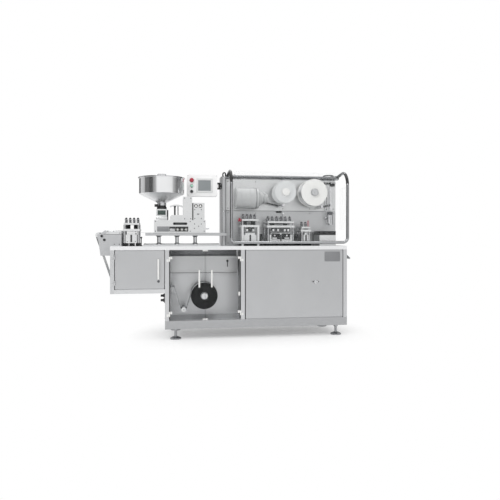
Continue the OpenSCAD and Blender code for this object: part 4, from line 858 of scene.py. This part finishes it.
def dancer_covers():
    """Dark ribbed covers along the two dancer arms."""
    (low, high), (far_low, far_high) = FITTINGS[2], FITTINGS[4]
    eye, tip, pitch = 13, 12, 12
    arms = (((low.x + eye, high.z - eye), (high.x - tip, low.z + tip), 40),
            ((far_high.x - eye, far_high.z - eye), (far_low.x + tip, far_low.z + tip), 52))
    bm = bmesh.new()
    for start, end, off in arms:
        way = Vector((end[0] - start[0], 0, end[1] - start[1]))
        along = way.normalized()
        axes = Matrix((along, BACK, along.cross(Vector(BACK)))).transposed()
        place = at((start[0], WALL - off, start[1])) @ axes.to_4x4()
        add_slab(bm, (15, -2.2, -8), (way.length - 13, -0.1, 8), 0.6, place)
        for i in range(int((way.length - 34) // pitch)):
            add_slab(bm, (18 + pitch * i, -3.6, -7), (24 + pitch * i, -2.0, 7), 0.4, place)
    piece("dancer_covers", "frame", black_plastic, bm)


def meeting_edges():
    """Painted shade: dark strips standing in for the shaded gap where the two clear doors meet."""
    wide = 1.7
    left, right = limits("clear_door_left"), limits("clear_door_right")
    for name, body, x in (("left_gap_shade_strip", "clear_door_left", left[1].x - wide),
                          ("right_gap_shade_strip", "clear_door_right", right[0].x)):
        bm = bmesh.new()
        add_slab(bm, (x, FRONT - 0.8, left[0].z + 3), (x + wide, FRONT, left[1].z - 3), 0.2)
        piece(name, body, dark_rubber_and_shade_fill, bm)


def door_details():
    """Bare plate and lock grip on the main door, key cap on the wing door."""
    low, high = PLATE
    wide, tall = high.x - low.x, high.z - low.z
    plates("bare_plate", "main_door", "aluminium", blank_plate, at(low),
           ((0, -1.2, 0), (wide, 0, tall), 0.5), ((11, -1.6, 11), (wide - 11, -1.0, tall - 11), 0.2))
    lock = mid(limits("main_lock"))
    reach, lift, stand = 24, 4, FRONT - 15.5
    bm = bmesh.new()
    add_turned(bm, ((0, 0), (17, 0), (17, 1), (15, 3.5), (9, 4.4), (0, 4.4)),
               facing((lock.x, FRONT - 4, lock.z), FORTH), 32)
    wing = ((-reach, lift), (-15, 3), (-6, 0), (0, -1), (6, 0), (15, 3), (reach, lift))
    add_rod(bm, [(lock.x + x, stand, lock.z + z) for x, z in wing], 4.2)
    piece("lock_plate", "main_door", bright_steel, bm)
    bm = bmesh.new()
    for x in (-reach, reach):
        add_turned(bm, ball(5.6, 10), facing((lock.x + x, stand, lock.z + lift), FORTH), 20)
    piece("lock_ends", "main_door", black_plastic, bm)
    key = solids("wing_handle")[1]
    face = at((mid(key).x, key[0].y, mid(key).z))
    bm = bmesh.new()
    add_turned(bm, ((0, 0), (11, 0), (11, 1.5), (10, 2.5), (3, 2.5), (2.4, 1.6), (0, 1.6)),
               face @ facing((0, 0, 0), FORTH), 28)
    add_slab(bm, (-1, -2.9, -6), (1, -2.2, 6), 0.2, face)
    piece("key_cap", "wing_door", spring_steel, bm)


def wall_trim():
    """Seam strip and block on the wall, pillar seals, red air union and loop, and the film bay's latch."""
    seam, left = PLATES[0][1].z, PLATES[0][0].x
    low, high = HOUSING
    bm = bmesh.new()
    add_slab(bm, (left + 1, WALL - 1.2, seam - 2.5), (STAND[0].x, WALL, seam + 2), 0.4)
    for near, far in ((0.4, 5.5), (36, 41.6)):
        add_slab(bm, (low.x + near, low.y - 1.3, low.z + 3), (low.x + far, low.y, high.z - 13), 0.5)
    piece("seam_strips", "frame", dark_rubber_and_shade_fill, bm)
    x, width, cap = STATIONS[1]
    side = x - width / 2
    bm = bmesh.new()
    add_turned(bm, ((0, 0), (12, 0), (12, 6), (10, 7.5), (10, 16), (13, 18), (13, 25), (11, 27), (4, 27),
                    (4, 24), (0, 24)), facing((side + 7, FILM_Y, cap - 10), LEFTWARD), 32)
    add_turned(bm, button(8, 17, 1.5, 2), facing((side - 4.9, FILM_Y, cap - 2), UP), 24)
    x, width, cap = STATIONS[3]
    half, y = 5.5, FILM_Y - 14.5
    x += 43.4
    turns = [math.pi * i / 10 for i in range(11)]
    loop = [(x - half * math.cos(a), y, cap + 49 + 14 * math.sin(a)) for a in turns]
    add_rod(bm, [(x - half, y, cap)] + loop + [(x + half, y, cap)], 2.4, 12)
    piece("air_union", "frame", red_plastic, bm)
    block = at((left + 543, WALL, seam))
    low, high = limits("bay_cover")
    x, z = high.x - 97.4, high.z - 47
    bm = bmesh.new()
    add_slab(bm, (-29, -9, -20), (29, -1.3, -1), 2, block)
    add_slab(bm, (-22, -12, -16), (22, -8.8, -5), 1, block)
    add_turned(bm, ((0, 0), (11, 0), (11, 3), (8, 4), (8, 9), (6.5, 10.5), (0, 10.5)),
               facing((x, low.y, z), FORTH), 32)
    add_rod(bm, ((x, low.y - 6.5, z - 2), (x, low.y - 7.5, z - 26), (x, low.y - 7, z - 56)), 3.6, 16)
    piece("latch_and_block", "frame", black_steel, bm)


def closing_strips():
    """Strips over and under the doors; the film bay's dark top sheet and dark strips along the bay's sides
    and the cover's lower edge, all painted shade; and the stop.
    """
    strip = 4.6
    bm = bmesh.new()
    for left, right, sill in ((WING_POST[1].x + 11, LEFT - 10, WING_RAIL),
                              (MID_POST[1].x + 21, RIGHT_POST[0].x - 9, BASE)):
        for z in (sill, TABLE - strip):
            add_slab(bm, (left, FRONT + 3.5, z), (right, FRONT + 15.5, z + strip), 0.5)
    piece("closing_strips", "frame", door_steel, bm)
    low, high = limits("bay_cover")
    left, right = low.x + 0.5, high.x - 0.5
    # Painted shade: dark sheet in the shaded band between the bay cover and the table
    plates("bay_top_shade_sheet", "frame", "satin_steel", bay_shade_steel, Matrix(),
           ((left, high.y - 2.5, high.z + 1), (right, high.y - 0.1, TABLE - 0.5), 0.5))
    # Painted shade: dark strips along the cover's lower edge and the bay's sides, where shade falls
    bm = bmesh.new()
    add_slab(bm, (left, low.y - 1.3, low.z - 1.4), (right, low.y + 1.3, low.z + 2), 0.4)
    for x in (LEFT_POST[1].x, MID_POST[0].x - 9):
        add_slab(bm, (x, FRONT + 11.5, BASE + 10), (x + 9, FRONT + 18.5, TABLE - 10), 1.0)
    piece("bay_shade_strips", "frame", dark_rubber_and_shade_fill, bm)
    low, high = limits("clear_door_right")
    stop = at((high.x - 10, FRONT, low.z + 234))
    plates("bay_stop", "clear_door_right", "white_plastic", white_plastic, stop,
           ((-8, -3, -18), (8, 0, 18), 1.2), ((-5, -6, -14), (5, -2.6, 14), 1.4))


def rail_caps():
    """Domed end caps on the guard's hinge rail, and bent hooks beside its ends."""
    low, high = limits("guard_hinge_rail")
    bm = bmesh.new()
    for x, way in ((low.x, LEFTWARD), (high.x, RIGHTWARD)):
        add_turned(bm, ((0, 0), (19, 0), (19, 6), (17.5, 9), (13, 11), (0, 12)),
                   facing((x, WALL, high.z - 20), way), 32)
    piece("rail_caps", "frame", black_plastic, bm)
    corner, back = HOUSING[0], HOUSING[1].z
    left = [(corner.x + x, corner.y + y, back + z) for x, y, z in (
        (13, 11.5, -10), (11, 11.5, 11), (14, 11.5, 23), (22, 11.5, 29), (31, 13.5, 29), (37, 19.5, 23),
        (39, 29.5, 15), (40, 43.5, 9))]
    right = [(high.x - x, WALL + y, back + z) for x, y, z in (
        (145, 41.5, 0), (145, 39.5, 13), (141, 35.5, 22), (129, 31.5, 27), (91, 29.5, 30), (51, 29.5, 30),
        (39, 31.5, 27), (35, 35.5, 22), (35, 39.5, 13), (35, 41.5, 0))]
    bm = bmesh.new()
    for points in (left, right):
        add_rod(bm, points, 6.4, 16)
    for foot in (left[0], right[0], right[-1]):
        add_turned(bm, button(11, 7, 3), facing(foot, UP), 24)
    piece("hinge_hooks", "frame", black_steel, bm)


def base_strip():
    """Dull stop strip along the back of the feeder's legs."""
    low, high = limits("feeder_legs")
    plates("base_strip", "frame", "satin_steel", wall_steel, Matrix(),
           ((low.x + 1, high.y + 0.5, TOP + 0.2), (high.x - 1, high.y + 2.5, TOP + 23), 0.4))


def reel_cap():
    """Stepped cap with a centre screw on the foil reel's hub, and a dark ring round the film reel's."""
    foil, film = limits("foil_hub"), limits("reel_hub")
    bm = bmesh.new()
    add_turned(bm, ((0, 0), (31, 0), (31, 1.4), (29.5, 2.4), (22, 2.4), (21, 1.2), (13, 1.2), (12, 3.4),
                    (9, 4), (0, 4)), facing((mid(foil).x, foil[0].y, mid(foil).z), FORTH), 48)
    piece("reel_cap", "foil_reel", cap_steel, bm)
    bm = bmesh.new()
    add_turned(bm, ((28.5, 0), (35.4, 0), (35.4, 0.8), (34.6, 1.6), (29.3, 1.6), (28.5, 0.8), (28.5, 0)),
               facing((mid(film).x, film[0].y, mid(film).z), FORTH), 64)
    piece("hub_ring", "film_reel", hinge_steel, bm)


def film_entry():
    """Folded lip along the infeed plate's top edge, and under it a dark strip as painted shade."""
    corner = at((INFEED[1].x, INFEED[0].y, INFEED[1].z))
    plates("infeed_lip", "frame", "satin_steel", feeder_steel, corner, ((-138, -1.7, -33), (-1, 0, -2), 0.5))
    plates("infeed_lip_shade", "frame", "black_plastic", dark_rubber_and_shade_fill, corner,
           ((-160, -0.8, -37), (-1, 0, -34), 0.3))


def chute_mat():
    """Grey wear plate under the chute and along its front edge."""
    low, high = solids("outfeed")[1]
    x, z = mid((low, high)).x, mid((low, high)).z
    slope = at((x, 0, z)) @ Matrix.Rotation(math.atan2(48, high.x - low.x), 4, "Y")
    plates("chute_mat", "frame", "grey_plastic", blank_plate, slope,
           ((-30, low.y - 1.1, -6.4), (30, high.y - 0.5, -5.2), 0.4),
           ((-30, low.y - 1.3, -5.0), (30, low.y, 5.0), 0.4))


def panel_details():
    """Bright rings round the buttons, the screen's bezel, the green start cap and the switch grip."""
    switch, start = solids("hmi_buttons")
    x, back, front = mid(switch).x, switch[1].y, switch[0].y
    bm = bmesh.new()
    stop = limits("emergency_stop")
    for knob, inner, outer in ((switch, 14.2, 18), (start, 14.2, 18), (stop, 14, 22)):
        add_turned(bm, ((inner, 0), (outer, 0), (outer, 1.5), (outer - 1.5, 3), (inner, 3), (inner, 0)),
                   facing((x, back, mid(knob).z), FORTH), 32)
    piece("button_rings", "control_panel", bright_steel, bm)
    low, high = limits("hmi_screen")
    face = limits("hmi_box")[0].y
    bm = bmesh.new()
    add_border(bm, (low.x - 1, low.z - 1), (high.x + 1, high.z + 1), (16.5, 16.5), (face - 1, face), 0.3)
    piece("screen_bezel", "control_panel", bezel_coat, bm)
    bm = bmesh.new()
    add_turned(bm, ((0, 0), (12.6, 0), (12.6, 3), (11.6, 4.6), (8, 5.4), (0, 5.8)),
               facing((x, front, mid(start).z), FORTH), 32)
    piece("start_cap", "control_panel", green_plastic, bm)
    face = at((x, front, mid(switch).z))
    bm = bmesh.new()
    add_turned(bm, button(12.8, 2.2, 0.8, 0.7), face @ facing((0, 0, 0), FORTH), 32)
    add_slab(bm, (-3.5, -12, -12), (3.5, -1.7, 12), 1.6, face)
    piece("switch_grip", "control_panel", black_plastic, bm)


for make in (spring_studs, dial_knobs, reel_discs, fasteners, feeder_brushes, dark_openings, hopper_gate,
             hopper_cover, neck_sleeves, press_details, seal_plate, motor_bands, guard_reflection_sleeves, stand_trim,
             dancer_covers, meeting_edges, door_details, wall_trim, closing_strips, rail_caps, base_strip,
             reel_cap, film_entry, chute_mat, panel_details):
    make()


# Stage: pale floor that runs out to white, soft light from the front and above

def stage_floor():
    size = 30.0
    corners = [(-size, -size, 0), (size, -size, 0), (size, size, 0), (-size, size, 0)]
    mesh = bpy.data.meshes.new("floor")
    mesh.from_pydata(corners, [], [(0, 1, 2, 3)])
    floor = bpy.data.objects.new("floor", mesh)
    bpy.context.scene.collection.objects.link(floor)
    material, tree = blank_material("floor_white_card")
    away = put(tree, "ShaderNodeVectorMath", {"operation": "DISTANCE"}, {
        0: put(tree, "ShaderNodeTexCoord").outputs["Object"], 1: (0.29, 0.0, 0.0)})
    fade = put(tree, "ShaderNodeMapRange", None, {
        "Value": away.outputs["Value"], "From Min": 0.72, "From Max": 1.22, "To Min": 0.25})
    ray = put(tree, "ShaderNodeLightPath")
    seen = put(tree, "ShaderNodeMath", {"operation": "MAXIMUM"}, {
        0: ray.outputs["Is Camera Ray"], 1: ray.outputs["Is Transmission Ray"]})
    share = put(tree, "ShaderNodeMath", {"operation": "MULTIPLY"}, {
        0: seen.outputs["Value"], 1: fade.outputs["Result"]})
    card = put(tree, "ShaderNodeBsdfDiffuse", None, {"Color": srgb("#FBFBFB")})
    white = put(tree, "ShaderNodeEmission", None, {"Color": (1, 1, 1, 1), "Strength": 1.0})
    mix = put(tree, "ShaderNodeMixShader", None, {
        0: share.outputs["Value"], 1: card.outputs["BSDF"], 2: white.outputs["Emission"]})
    put(tree, "ShaderNodeOutputMaterial", None, {"Surface": mix.outputs["Shader"]})
    mesh.materials.append(material)


def studio_world():
    """White to the eye. As light: soft panels all round, with dim gaps that metal shows as bands."""
    world = bpy.data.worlds.new("studio")
    bpy.context.scene.world = world
    world.use_nodes = True
    tree = world.node_tree
    tree.nodes.clear()
    way = put(tree, "ShaderNodeSeparateXYZ", None, {
        0: put(tree, "ShaderNodeTexCoord").outputs["Generated"]})
    turn = put(tree, "ShaderNodeMath", {"operation": "ARCTAN2"}, {0: way.outputs["X"], 1: way.outputs["Y"]})
    share = put(tree, "ShaderNodeMapRange", None, {
        "Value": turn.outputs["Value"], "From Min": -math.pi, "From Max": math.pi})
    ramp = put(tree, "ShaderNodeValToRGB", None, {"Fac": share.outputs["Result"]})
    band = ramp.color_ramp
    band.interpolation = "EASE"
    levels = ((0.0, 1.0), (0.06, 1.0), (0.085, 0.4), (0.114, 0.34), (0.126, 0.07), (0.176, 0.08),
              (0.19, 0.17), (0.25, 0.15), (0.268, 0.6), (0.36, 0.7), (0.378, 0.1), (0.44, 0.12),
              (0.47, 0.65), (0.53, 0.65), (0.56, 0.12), (0.6, 0.16),
              (0.63, 0.5), (0.68, 0.5), (0.705, 0.22), (0.765, 0.2), (0.82, 0.42),
              (0.85, 0.92), (0.9, 1.0), (1.0, 1.0))
    while len(band.elements) < len(levels):
        band.elements.new(0.5)
    for stop, (place, level) in zip(band.elements, levels):
        stop.position = place
        stop.color = (level, level, level, 1)
    high = put(tree, "ShaderNodeMapRange", None, {
        "Value": way.outputs["Z"], "From Min": 0.35, "From Max": 0.75})
    room = put(tree, "ShaderNodeMix", {"data_type": "RGBA"}, {
        0: high.outputs["Result"], 6: ramp.outputs["Color"], 7: (0.95, 0.95, 0.95, 1)})
    ray = put(tree, "ShaderNodeLightPath")
    lit = put(tree, "ShaderNodeMix", {"data_type": "RGBA"}, {
        0: ray.outputs["Is Glossy Ray"], 6: (0.82, 0.82, 0.82, 1), 7: room.outputs[2]})
    seen = put(tree, "ShaderNodeMath", {"operation": "MAXIMUM"}, {
        0: ray.outputs["Is Camera Ray"], 1: ray.outputs["Is Transmission Ray"]})
    shown = put(tree, "ShaderNodeMix", {"data_type": "RGBA"}, {
        0: seen.outputs["Value"], 6: lit.outputs[2], 7: (1, 1, 1, 1)})
    back = put(tree, "ShaderNodeBackground", None, {"Color": shown.outputs[2], "Strength": 1.0})
    put(tree, "ShaderNodeOutputWorld", None, {"Surface": back.outputs["Background"]})


def lamp(name, place, aim, size, power):
    light = bpy.data.lights.new(name, "AREA")
    light.shape = "RECTANGLE"
    light.size, light.size_y = size
    light.energy = power
    holder = bpy.data.objects.new(name, light)
    holder.location = place
    holder.rotation_euler = (Vector(aim) - Vector(place)).to_track_quat("-Z", "Y").to_euler()
    bpy.context.scene.collection.objects.link(holder)


stage_floor()
studio_world()
lamp("key_panel", (-2.4, -4.2, 4.2), (0, 0, 0.8), (3.0, 2.2), 90)
lamp("top_panel", (0.4, 0.2, 4.6), (0, 0, 0.8), (3.6, 2.4), 50)

camera = bpy.data.objects.new("camera", bpy.data.cameras.new("camera"))
camera.data.lens = 36.0
camera.data.sensor_width = 36.0
camera.data.shift_y = -0.024
camera.location = (-0.479, -4.8765, 0.930)
camera.rotation_euler = (math.radians(90), 0, math.radians(-8.5))
bpy.context.scene.collection.objects.link(camera)
bpy.context.scene.camera = camera
bpy.context.scene.view_settings.view_transform = "Standard"

bpy.context.view_layer.update()
